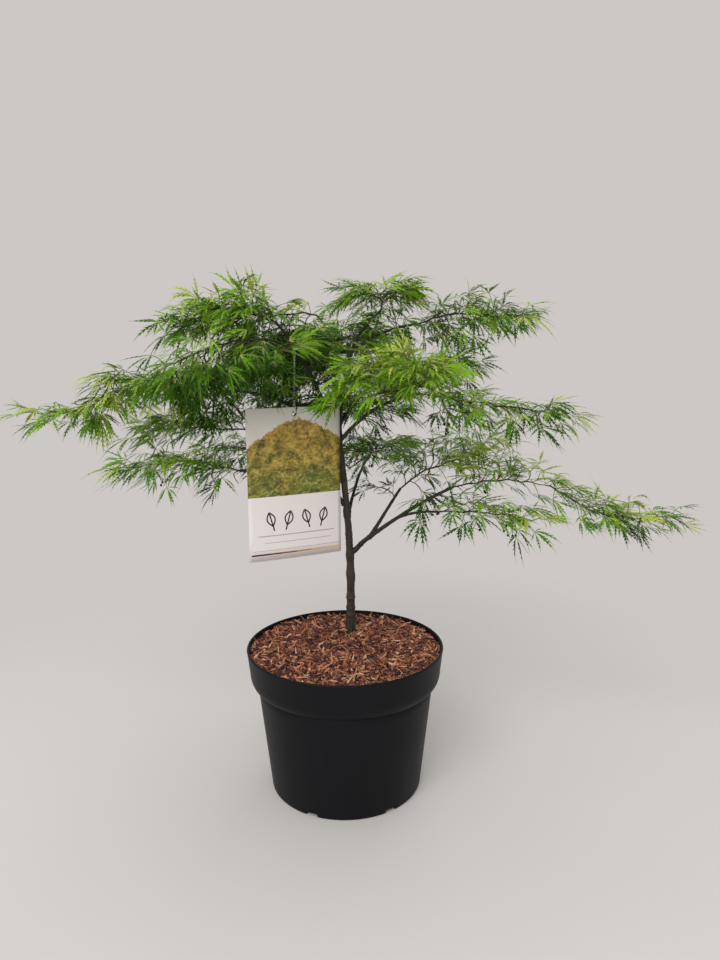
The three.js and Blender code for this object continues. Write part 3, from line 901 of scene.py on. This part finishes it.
rng = np.random.default_rng(53)
flower_parts, flower_dealt = [], []
for mass in FLOWERED:
    spots = grown[mass][0]
    start = spots[rng.integers(len(spots) // 4, len(spots))]
    fork = start + rng.uniform(14, 36) * MM * unit(rng.normal(0, 0.3, 3) - UP)
    ends = fork + rng.uniform(5, 11, (4, 1)) * MM * unit(rng.normal(0, 0.7, (4, 3)) - UP)
    for path, radius in [((start, fork), 0.42), *(((fork, end), 0.3) for end in ends)]:
        flower_parts.append(tube(np.column_stack([path, np.full(2, radius * MM)]), 4)[:2])
        flower_dealt.append(0)
    for end in ends:
        knob = np.column_stack([end + KNOB * BALL[:, None] * UP, KNOB * np.sqrt(1 - BALL ** 2)])
        flower_parts.append(tube(knob, 7)[:2])
        flower_dealt.append(1)
flower_materials = [thin_skin("dry_flower_stalk", "#6a4a36"), thin_skin("seed_knob", "#2b1517")]
points, faces = gather(flower_parts)
dealt = np.concatenate([np.repeat(flower_dealt, [len(faces[kind]) for _, faces in flower_parts])
                        for kind in (0, 1)])
piece("flower_stalks", points, faces, flower_materials, dealt)

dry_at = np.array([grown[mass][0][rng.integers(5, len(grown[mass][0]))] for mass in DRIED])
dry_ahead = unit(rng.normal(0, 0.5, dry_at.shape) - UP)
dry_side = unit(np.cross(dry_ahead, rng.normal(0, 1, dry_at.shape)))
dry_size = rng.uniform(13, 20, len(dry_at)) * MM
dry_sag = np.full(len(dry_at), 2.0)
points, faces = hands(dry_at, dry_ahead, dry_side, dry_size, dry_sag, rng, width=1.7)
piece("dead_leaves", points, faces, [thin_skin("dead_leaf", "#b2703f")])

# %% [markdown]
# ## Pot
#
# The pot is injection-moulded black polypropylene: a thin wall that widens upwards, a deep band
# under the rim that stiffens it, a small rolled lip, and six notches under the foot that let water
# out. It is one profile turned about the axis. The notches are made in the same grid: where the
# angle lies in a notch, the rows of points near the foot are lifted to the notch's height.

# %% Pot
POT_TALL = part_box("pot")[1][2] / MM
POT_RIM = 130.0
BAND_DEPTH, SHOULDER_DEPTH = 31.0, 49.0
BAND_FOOT, SHOULDER, FOOT, WALL, FLOOR = 126.5, 116.5, 101.0, 2.2, 3.5
MIDDLE_RING = 40
NOTCHES, FIRST_NOTCH, NOTCH_WIDE, NOTCH_TALL, NOTCH_DEEP = 6, 5.0, 16.0, 6.0, 14.0
NOTCHED_ROWS = 10  # rows of the profile under the floor and on the heel


def pot_outline():
    """Radius and height of the pot's profile in mm, from under the floor's middle round to its top."""
    band, shoulder = POT_TALL - BAND_DEPTH, POT_TALL - SHOULDER_DEPTH
    turn = np.linspace(0, np.pi / 2, 9)
    swell = np.stack([BAND_FOOT - (BAND_FOOT - SHOULDER) * (1 - np.sin(turn)),
                      band - (band - shoulder) * np.cos(turn)], axis=1)
    wall = np.stack([np.linspace(FOOT + 0.25, SHOULDER - 0.1, 14),
                     np.linspace(NOTCH_TALL + 0.4, shoulder - 1.6, 14)], axis=1)
    groove = [(SHOULDER - 0.75, shoulder - 0.9), (SHOULDER - 0.75, shoulder - 0.4)]
    under = [(MIDDLE_RING, 0), (FOOT - NOTCH_DEEP - 0.3, 0), (FOOT - NOTCH_DEEP, 0)]
    heel = [(FOOT - 3, 0), (FOOT - 1.2, 0.5), (FOOT - 0.3, 1.8), (FOOT, 4), (FOOT + 0.2, NOTCH_TALL)]
    roll = np.linspace(0, np.pi, 9)
    lip = np.stack([POT_RIM - 1.5 + 1.6 * np.cos(roll), POT_TALL - 1.6 + 1.6 * np.sin(roll)], axis=1)
    lining = [(BAND_FOOT - WALL, band), (SHOULDER - WALL, shoulder), (FOOT - WALL, FLOOR),
              (MIDDLE_RING, FLOOR)]
    return np.concatenate([under, heel, wall, groove, swell, [(POT_RIM - 0.4, POT_TALL - 4)], lip, lining])


def pot_surface():
    """The profile turned about the axis, its lowest rows lifted to the notch's height within a notch."""
    outline = pot_outline()
    half = math.degrees(NOTCH_WIDE / 2 / FOOT)
    notch = FIRST_NOTCH + np.arange(NOTCHES) * 360 / NOTCHES
    edges = (notch[:, None] + [-half - 0.12, -half, half, half + 0.12]).ravel()
    angle = np.unique(np.concatenate([np.arange(0, 360, 2.0), edges % 360]))
    away = np.abs((angle[:, None] - notch + 180) % 360 - 180).min(1)
    lifted = (away < half + 0.01)[None] & ((outline[:, 0] >= FOOT - NOTCH_DEEP) & (outline[:, 1] < NOTCH_TALL)
                                           & (np.arange(len(outline)) < NOTCHED_ROWS))[:, None]
    level = np.where(lifted, NOTCH_TALL, outline[:, 1:2])
    turn = np.radians(angle)
    rings = np.stack([outline[:, :1] * np.cos(turn), outline[:, :1] * np.sin(turn), level], axis=-1)
    points = np.concatenate([rings.reshape(-1, 3), [[0, 0, 0], [0, 0, FLOOR]]]) * MM
    return points, capped_grid(len(outline), len(angle))


# %% [markdown]
# The plastic is black with a little blue in it, satin, with a fine grain from the mould and faint
# upright flow marks, which change its tone and its sheen a little round the wall.

# %% Pot finish
POT_GRAIN = 0.9  # mm, coarser than the mould's real 0.2 mm grain so that it shows

plastic, tree, shader = finish("moulded_black_polypropylene", "#18181c", 0.5, IOR=1.49,
                               Specular_IOR_Level=0.16)
here = add(tree, "TexCoord", {}, out="Object")
moulded = add(tree, "TexNoise", {"Vector": here, "Scale": 1 / (POT_GRAIN * MM), "Detail": 2.0})
tall = add(tree, "Mapping", {"Vector": here, "Scale": (1, 1, 0.07)})
flow = add(tree, "TexNoise", {"Vector": tall, "Scale": 60.0, "Detail": 3.0})
tone = add(tree, "MixRGB", {"Fac": flow, "Color1": linear("#09090e"), "Color2": linear("#101016")})
satin = add(tree, "MapRange", {"Value": flow, "To Min": 0.42, "To Max": 0.58})
bump = add(tree, "Bump", {"Height": moulded, "Distance": 0.12 * MM, "Strength": 0.35})
feed(shader, {"Base Color": tone, "Roughness": satin, "Normal": bump})

points, faces = pot_surface()
piece("nursery_pot", points, faces, [plastic], replaces=["pot"])

# %% [markdown]
# ## Compost and bark mulch
#
# The compost only shows as dark specks between the chips, so it keeps its solid and gets a moist,
# crumbly finish. The mulch over it is shredded bark: thousands of thin bent fibres in browns from
# tan to purple-black. A bump map would lie flat at this distance. The fibres are real strips with a
# diamond section, worked out all at once, and they lie on a lumpy bed of the same bark.

# %% Compost finish
moist, tree, shader = finish("moist_bark_compost", "#2e2320", 0.85)
here = add(tree, "TexCoord", {}, out="Object")
crumb = add(tree, "TexVoronoi", {"Vector": here, "Scale": 260.0})
tint = add(tree, "MixRGB", {"Fac": crumb, "Color1": linear("#1c1412"), "Color2": linear("#4a3529")})
bump = add(tree, "Bump", {"Height": crumb, "Distance": 2 * MM, "Strength": 0.8})
feed(shader, {"Base Color": tint, "Normal": bump})
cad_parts["compost"].data.materials.clear()
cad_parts["compost"].data.materials.append(moist)


# %% Mulch bed
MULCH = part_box("bark_mulch")
MULCH_REACH = float(MULCH[1][0])
MULCH_TOP, MULCH_FOOT = float(MULCH[1][2]), float(MULCH[0][2])
DOME = 3.5 * MM
STEM = nearest_on(trunk_line, np.array([[0, 0, MULCH_TOP]]) + trunk_line[:1, :3] * [1, 1, 0])
HOLLOW, HOLLOW_DEEP = 13 * MM, 9 * MM
SUNK = 3 * MM  # the bed lies this far under the level
MARGIN = 2 * MM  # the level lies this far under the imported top, and the lowest fibres under the level
LUMP_TALL = 0.55 * MM
LUMPS = ((160, 90, 1), (-70, 190, 2), (230, -140, 4), (40, -300, 5))  # turns by x and y, and phase


def mulch_level(x, y):
    """Height of the mulch: a low dome, lumps made of waves across it, and a hollow round the stem."""
    far = np.hypot(x, y) / MULCH_REACH
    lumps = sum(np.sin(a * x + b * y + c) for a, b, c in LUMPS)
    hollow = np.exp(-(((x - STEM[0]) ** 2 + (y - STEM[1]) ** 2) / HOLLOW ** 2))
    return MULCH_TOP - MARGIN - DOME * far ** 2 + LUMP_TALL * lumps - HOLLOW_DEEP * hollow


def mulch_bed():
    """A closed disc: rings out over the lumpy top, down the edge and back under, with two poles.

    The rings run outwards from the top, so the tube's faces are turned over to look out.
    """
    turn = np.radians(np.arange(0, 360, 3.0))
    out = np.linspace(0.02, 1, 46) * MULCH_REACH
    x, y = out[:, None] * np.cos(turn), out[:, None] * np.sin(turn)
    top = np.stack([x, y, mulch_level(x, y) - SUNK], axis=-1)
    base = np.stack([x[::-9], y[::-9], np.full_like(x[::-9], MULCH_FOOT)], axis=-1)
    rings = np.concatenate([top, base])
    middle = [[0, 0, mulch_level(0, 0) - SUNK], [0, 0, MULCH_FOOT]]
    faces = [kind[:, ::-1] for kind in capped_grid(*rings.shape[:2])]
    return np.concatenate([rings.reshape(-1, 3), middle]), faces


# %% Bark fibres
FIBRES = 6200
FIBRE_ROWS = np.linspace(-0.5, 0.5, 4)
FIBRE_TAPER = np.array([0.5, 1.0, 0.95, 0.4])


def bark_fibres(count, rng):
    """Bent slivers: a middle line whose heading turns by the curl as it goes, and four edges round
    it at the half-width sideways and the half-thickness up, narrowed by the taper at both ends.
    """
    far = MULCH_REACH * np.sqrt(rng.random(count))
    about = rng.uniform(0, 2 * np.pi, count)
    x, y = far * np.cos(about), far * np.sin(about)
    length = rng.gamma(4.0, 3.0, count).clip(5, 34) * MM
    wide = rng.uniform(0.6, 1.8, count) * MM
    thick = wide * rng.uniform(0.3, 0.6, count)
    heading = rng.uniform(0, 2 * np.pi, count)[:, None] + rng.normal(0, 1.7, (count, 1)) * FIBRE_ROWS
    pitch = rng.normal(0, 0.30, (count, 1)) + rng.normal(0, 0.7, (count, 1)) * FIBRE_ROWS
    way = np.stack([np.cos(pitch) * np.cos(heading), np.cos(pitch) * np.sin(heading), np.sin(pitch)], axis=-1)
    stride = np.diff(FIBRE_ROWS, prepend=FIBRE_ROWS[0])[:, None] * length[:, None, None]
    line = np.cumsum(stride * way, axis=1)
    line -= line.mean(1, keepdims=True)
    lie = np.abs(rng.normal(0, 2.0, count)).clip(0, 5) * MM
    line += np.stack([x, y, mulch_level(x, y) - MARGIN + lie], axis=1)[:, None]
    level = unit(np.cross(UP, way))
    roll = rng.normal(0, 0.6, (count, 1, 1))
    above = np.cross(way, level)
    across = np.cos(roll) * level + np.sin(roll) * above
    above = np.cos(roll) * above - np.sin(roll) * level
    taper = FIBRE_TAPER[:, None]
    across = across * wide[:, None, None] * taper
    above = above * thick[:, None, None] * taper
    points = np.stack([line + across, line + above, line - across, line - above], axis=2).reshape(-1, 3)
    reach = np.hypot(points[:, 0], points[:, 1])
    points[:, :2] *= np.minimum(1, MULCH_REACH / reach)[:, None]
    row = 4 * np.arange(len(FIBRE_ROWS) - 1)[:, None]
    here, after = np.arange(4), np.roll(np.arange(4), -1)
    sides = np.stack([row + here, row + 4 + here, row + 4 + after, row + after], axis=-1).reshape(-1, 4)
    caps = [[0, 1, 2, 3], [15, 14, 13, 12]]
    each = np.concatenate([sides, caps])
    return points, [(each + 16 * np.arange(count)[:, None, None]).reshape(-1, 4)], len(each)


# %% [markdown]
# Each fibre is one brown, and the browns differ as much as the ones in a fresh bag: outer bark is
# purple-black, inner bark red, and the torn wood fibres are orange to tan.

# %% Mulch finish and pieces
BARKS = {
    "outer_bark": "#38222a", "red_bark": "#87493a", "inner_bark": "#ac6848", "bark_fibre": "#cb9068",
    "torn_wood_fibre": "#dfb794", "wet_bark": "#54302e",
}
BARK_SHARES = (0.20, 0.23, 0.21, 0.16, 0.07, 0.13)


def bark_chip(name, colour):
    """Dry shredded bark: matt, streaked with its own darker colour along a fine grain."""
    material, tree, shader = finish(name, colour, 0.8)
    here = add(tree, "TexCoord", {}, out="Object")
    streak = add(tree, "TexNoise", {"Vector": here, "Scale": 900.0, "Detail": 3.0})
    patch = add(tree, "MapRange", {"Value": streak, "From Min": 0.2, "From Max": 0.5})
    tone = add(tree, "MixRGB", {"Fac": patch, "Color1": linear("#2a1a18"), "Color2": linear(colour)})
    bump = add(tree, "Bump", {"Height": streak, "Distance": 0.4 * MM, "Strength": 0.6})
    feed(shader, {"Base Color": tone, "Normal": bump})
    return material


chips = [bark_chip(name, colour) for name, colour in BARKS.items()]
points, faces = mulch_bed()
piece("mulch_bed", points, faces, [chips[0]], replaces=["bark_mulch"])
rng = np.random.default_rng(31)
points, faces, each = bark_fibres(FIBRES, rng)
browns = rng.choice(len(chips), FIBRES, p=BARK_SHARES)
piece("mulch_fibres", points, faces, chips, np.repeat(browns, each), smooth=False)

# %% [markdown]
# ## Label card
#
# A stiff plastic card hangs by a clear twisted strand from a bough. It is printed with a picture of
# the grown plant, a golden mound, above a white field. The printed words are left out, and a row of
# small leaves stands in their place. The card is one closed grid that runs from the rim of its hole
# out to its edge, over it and back, so the hole is a real one; the card bows a little, as they do.

# %% Card shape
spots = facets("label_card").reshape(-1, 3)
CARD_MIDDLE = (spots.min(0) + spots.max(0)) / 2
thin_way = np.linalg.svd(spots - spots.mean(0), full_matrices=False)[2][2]
CARD_OUT = unit(thin_way * [1, 1, 0]) * (-1 if thin_way[1] > 0 else 1)
CARD_ACROSS = np.cross(UP, CARD_OUT)
CARD_WIDE = np.ptp((spots - CARD_MIDDLE) @ CARD_ACROSS)
CARD_TALL = np.ptp(spots[:, 2])
HOLE, HOLE_DROP, CARD_THICK, BOW = 3.2 * MM, 8 * MM, 0.7 * MM, 2.0 * MM
CARD_RINGS = 16
print("card:", round(CARD_WIDE, 4), "by", round(CARD_TALL, 4))


def on_card(x, z, lift):
    """The place of card coordinates, from its middle, at a height off its bowed middle surface."""
    bow = BOW * ((2 * x / CARD_WIDE) ** 2 - 0.5)
    return CARD_MIDDLE + x[..., None] * CARD_ACROSS + z[..., None] * UP + (lift - bow)[..., None] * CARD_OUT


def card_surface():
    """Rings from the hole's rim to the card's edge on the front and back again on the back. The ring
    at share s lies at hole + (edge - hole) s^1.3, where edge is how far the outline is that way.
    """
    centre = CARD_TALL / 2 - HOLE_DROP
    below, aside = -centre - CARD_TALL / 2, CARD_WIDE / 2
    corners = np.degrees(np.arctan2([HOLE_DROP, HOLE_DROP, below, below], [aside, -aside, -aside, aside]))
    angle = np.radians(np.unique(np.concatenate([np.arange(0, 360, 3.0), corners % 360])))
    cos, sin = np.cos(angle), np.sin(angle)
    side = CARD_WIDE / 2 / np.maximum(np.abs(cos), 1e-9)
    end = np.where(sin > 0, HOLE_DROP, CARD_TALL - HOLE_DROP) / np.maximum(np.abs(sin), 1e-9)
    edge = np.minimum(side, end)
    share = np.linspace(0, 1, CARD_RINGS)[:, None] ** 1.3
    far = HOLE + (edge - HOLE) * share
    far = np.concatenate([far, far[::-1]])
    lift = np.repeat([0.5, -0.5], CARD_RINGS)[:, None] * CARD_THICK + 0 * far
    x, z = far * cos, centre + far * sin
    points = on_card(x, z, lift)
    count, sides = far.shape
    row, next_row = np.arange(count)[:, None] * sides, np.roll(np.arange(count), -1)[:, None] * sides
    here, after = np.arange(sides), np.roll(np.arange(sides), -1)
    quads = np.stack([row + here, next_row + here, next_row + after, row + after], axis=-1)
    back = np.repeat(np.arange(count) >= CARD_RINGS - 1, sides)
    uv = np.stack([x / CARD_WIDE + 0.5, z / CARD_TALL + 0.5], axis=-1)
    return points.reshape(-1, 3), [quads.reshape(-1, 4)], back, uv.reshape(-1, 2)


# %% [markdown]
# The card is polypropylene sheet, printed and glossy. The print is drawn on the card's own map,
# which runs from nought to one each way. The mound's outline falls off from its peak by a power
# between a gable's and a parabola's, broken up by noise, and its colour goes from gold at the top
# to green below, with dark gaps and pale glints between its sprays.

# %% Card finish
PEAK, PEAK_TALL, PEAK_SLOPE, PEAK_POWER = 0.54, 0.862, -0.44, 1.45
FIELD = 0.425  # the white field below the picture ends here

card_print, tree, shader = finish("printed_plastic_card", "#dcd6d3", 0.35, IOR=1.5)
place = add(tree, "UVMap", {}, uv_map="card")
u = add(tree, "SeparateXYZ", {"Vector": place}, out="X")
v = u.node.outputs["Y"]
drooping = add(tree, "Mapping", {"Vector": place, "Scale": (0.8, 1.5, 1)})
fine = add(tree, "TexNoise", {"Vector": drooping, "Scale": 40.0, "Detail": 6.0, "Roughness": 0.75})
spray = add(tree, "TexNoise", {"Vector": drooping, "Scale": 13.0, "Detail": 3.0, "Distortion": 0.6})
leafy = add(tree, "MixRGB", {"Fac": 0.45, "Color1": fine, "Color2": spray})
broad = add(tree, "TexNoise", {"Vector": drooping, "Scale": 4.5, "Detail": 4.0})
off_peak = add(tree, "Math", {0: u, 1: PEAK}, operation="SUBTRACT")
off = add(tree, "Math", {0: off_peak}, operation="ABSOLUTE")
curved = add(tree, "Math", {0: off, 1: PEAK_POWER}, operation="POWER")
slope = add(tree, "Math", {0: curved, 1: PEAK_SLOPE, 2: PEAK_TALL}, operation="MULTIPLY_ADD")
crown = add(tree, "Math", {0: leafy, 1: 0.13, 2: slope}, operation="MULTIPLY_ADD")
under_crown = add(tree, "Math", {0: v, 1: crown}, operation="LESS_THAN")
over_field = add(tree, "Math", {0: v, 1: FIELD}, operation="GREATER_THAN")
mound = add(tree, "Math", {0: under_crown, 1: over_field}, operation="MULTIPLY")
rise = add(tree, "MapRange", {"Value": v, "From Min": 0.42, "From Max": 0.92})
mixed = add(tree, "Math", {0: broad, 1: 1.6, 2: rise}, operation="MULTIPLY_ADD")
golden = add(tree, "MapRange", {"Value": mixed, "From Min": 0.7, "From Max": 1.8})
gap = add(tree, "MapRange", {"Value": leafy, "From Min": 0.53, "From Max": 0.40, "To Max": 0.95})
glint = add(tree, "MapRange", {"Value": leafy, "From Min": 0.52, "From Max": 0.66, "To Max": 0.8})
sheet = add(tree, "MixRGB", {"Fac": over_field, "Color1": linear("#e7e3e3"), "Color2": linear("#d9d6ce")})
printed = linear("#6a7a2b")
for share, colour in ((golden, "#b8923a"), (gap, "#353a10"), (glint, "#dcc268")):
    printed = add(tree, "MixRGB", {"Fac": share, "Color1": printed, "Color2": linear(colour)})
printed = add(tree, "MixRGB", {"Fac": mound, "Color1": sheet, "Color2": printed})
gloss = add(tree, "MapRange", {"Value": leafy, "To Min": 0.3, "To Max": 0.42})
feed(shader, {"Base Color": printed, "Roughness": gloss})

card_back, tree, shader = finish("plain_plastic_card", "#e4e0df", 0.4, IOR=1.5)
here = add(tree, "TexCoord", {}, out="Object")
mottle = add(tree, "TexNoise", {"Vector": here, "Scale": 90.0, "Detail": 3.0})
tone = add(tree, "MixRGB", {"Fac": mottle, "Color1": linear("#dedad9"), "Color2": linear("#eae6e5")})
feed(shader, {"Base Color": tone})

points, faces, back, uv = card_surface()
card = piece("plant_label", points, faces, [card_print, card_back], back,
             replaces=["label_card"])
corners = np.empty(len(card.data.loops), int)
card.data.loops.foreach_get("vertex_index", corners)
layer = card.data.uv_layers.new(name="card")
layer.data.foreach_set("uv", uv[corners].astype(np.float32).ravel())

# %% [markdown]
# Ink stands a hair off the card. Everything on it is a stroke of even width: four plain pointed
# leaves in outline where a title would stand, and lines under them.


# %% Ink on the card
INK = CARD_THICK / 2 + 0.06 * MM
LEAF_TALL, LEAF_LEAN, LEAF_LEVEL = 19 * MM, math.radians(16), 0.275


def stroke(path, half):
    """A flat ribbon of ink along rows of x, z from the card's middle, with a half-width each side."""
    way = unit(np.gradient(path, axis=0))
    aside = half * way[:, ::-1] * [-1, 1]
    x, z = np.concatenate([path - aside, path + aside]).T
    at = np.arange(len(path) - 1)
    quads = np.stack([at, at + 1, at + len(path) + 1, at + len(path)], axis=1)
    return on_card(x, z, INK + 0 * x), [quads]


def line(left, right, level):
    """Nine places along a level line, given as shares of the card's width and height."""
    share = np.stack([np.linspace(left, right, 9) - 0.5, np.full(9, level - 0.5)], axis=1)
    return share * [CARD_WIDE, CARD_TALL]


def leaf_outline(x, lean):
    """Both edges of a pointed leaf, w(t) = 0.28 sin(pi t), and its rib, leaning about its middle."""
    share = np.linspace(0, 1, 13)
    edge = np.stack([0.28 * np.sin(np.pi * share), share - 0.5], axis=1) * LEAF_TALL
    rib = np.stack([0 * share, 1.25 * share - 0.85], axis=1) * LEAF_TALL
    turned = np.array([[np.cos(lean), np.sin(lean)], [-np.sin(lean), np.cos(lean)]])
    middle = [x * CARD_WIDE, (LEAF_LEVEL - 0.5) * CARD_TALL]
    return [path @ turned + middle for path in (edge, edge * [-1, 1], rib)]


strokes = []
for place, lean in zip((-0.27, -0.08, 0.11, 0.30), (1, -1, 1, -1)):
    strokes += [(path, 0.9 * MM, 0) for path in leaf_outline(place, lean * LEAF_LEAN)]
strokes += [(line(0.10, 0.92, 0.165), 0.7 * MM, 1), (line(0.16, 0.88, 0.118), 0.4 * MM, 1)]
strokes += [(line(0.03, 0.98, 0.068), 0.35 * MM, 1)]
strokes += [(line(0.02 + 0.16 * step, 0.18 + 0.16 * step, 0.042), 1.0 * MM, ink)
            for step, ink in enumerate((0, 2, 3, 4, 5, 6))]
INKS = {"brown_ink": "#3a2226", "grey_ink": "#b3aeac", "ink_2": "#5c3a28", "ink_3": "#8a5a34",
        "ink_4": "#b98650", "ink_5": "#d9a76f", "ink_6": "#e3b57f"}
inks = [thin_skin(name, colour) for name, colour in INKS.items()]
parts = [stroke(path, half) for path, half, _ in strokes]
dealt = np.concatenate([np.full(len(faces[0]), ink)
                        for (_, faces), (*_, ink) in zip(parts, strokes)])
points, faces = gather(parts)
piece("label_print", points, faces, inks, dealt, smooth=False)

# %% [markdown]
# The strand is a clear plastic tie, twisted from two threads, that loops round the bough and
# through the card's hole. Two helices about one straight line make the twist. Drawn polypropylene
# lets some light through, so it shows as a pale glint against the leaves.

# %% Label strand
loop_spots = facets("label_loop").reshape(-1, 3)
grip = nearest_on(limb_line["upper_left_bough"], loop_spots[loop_spots[:, 2].argmax()][None])
hole = on_card(np.array(0.0), np.array(CARD_TALL / 2 - HOLE_DROP), np.array(0.0))
RING, THREAD, TWIST, PITCH = 5.5 * MM, 0.45 * MM, 0.75 * MM, 8 * MM


def ring(middle, first, second, radius):
    """A thread bent into a ring in the plane of two directions, its ends just overlapping."""
    turn = np.linspace(0, 2.05 * np.pi, 33)[:, None]
    path = middle + radius * (np.cos(turn) * first + np.sin(turn) * second)
    return tube(np.column_stack([path, np.full(len(path), THREAD)]), 6)[:2]


bough_way = unit(np.gradient(limb_line["upper_left_bough"][:, :3], axis=0))
bough_way = bough_way[np.linalg.norm(limb_line["upper_left_bough"][:, :3] - grip, axis=1).argmin()]
beside = unit(np.cross(bough_way, UP))
top, bottom = grip - RING * UP, hole + 2 * RING * UP
share = np.linspace(0, 1, 90)[:, None]
turn = 2 * np.pi * share * np.linalg.norm(top - bottom) / PITCH
threads = [ring(grip, beside, np.cross(beside, bough_way), RING), ring(hole + RING * UP, CARD_OUT, UP, RING)]
for phase in (0, np.pi):
    sway = TWIST * (np.cos(turn + phase) * CARD_ACROSS + np.sin(turn + phase) * CARD_OUT)
    path = bottom + share * (top - bottom) + sway
    threads.append(tube(np.column_stack([path, np.full(len(path), THREAD)]), 6)[:2])
clear_strand, tree, shader = finish("clear_polypropylene_strand", "#d5dad2", 0.22, IOR=1.49,
                                    Transmission_Weight=0.45)
here = add(tree, "TexCoord", {}, out="Object")
drawn = add(tree, "TexNoise", {"Vector": here, "Scale": 500.0})
bump = add(tree, "Bump", {"Height": drawn, "Distance": 0.2 * MM, "Strength": 0.3})
feed(shader, {"Normal": bump})
points, faces = gather(threads)
piece("label_strand", points, faces, [clear_strand], replaces=["label_loop"])
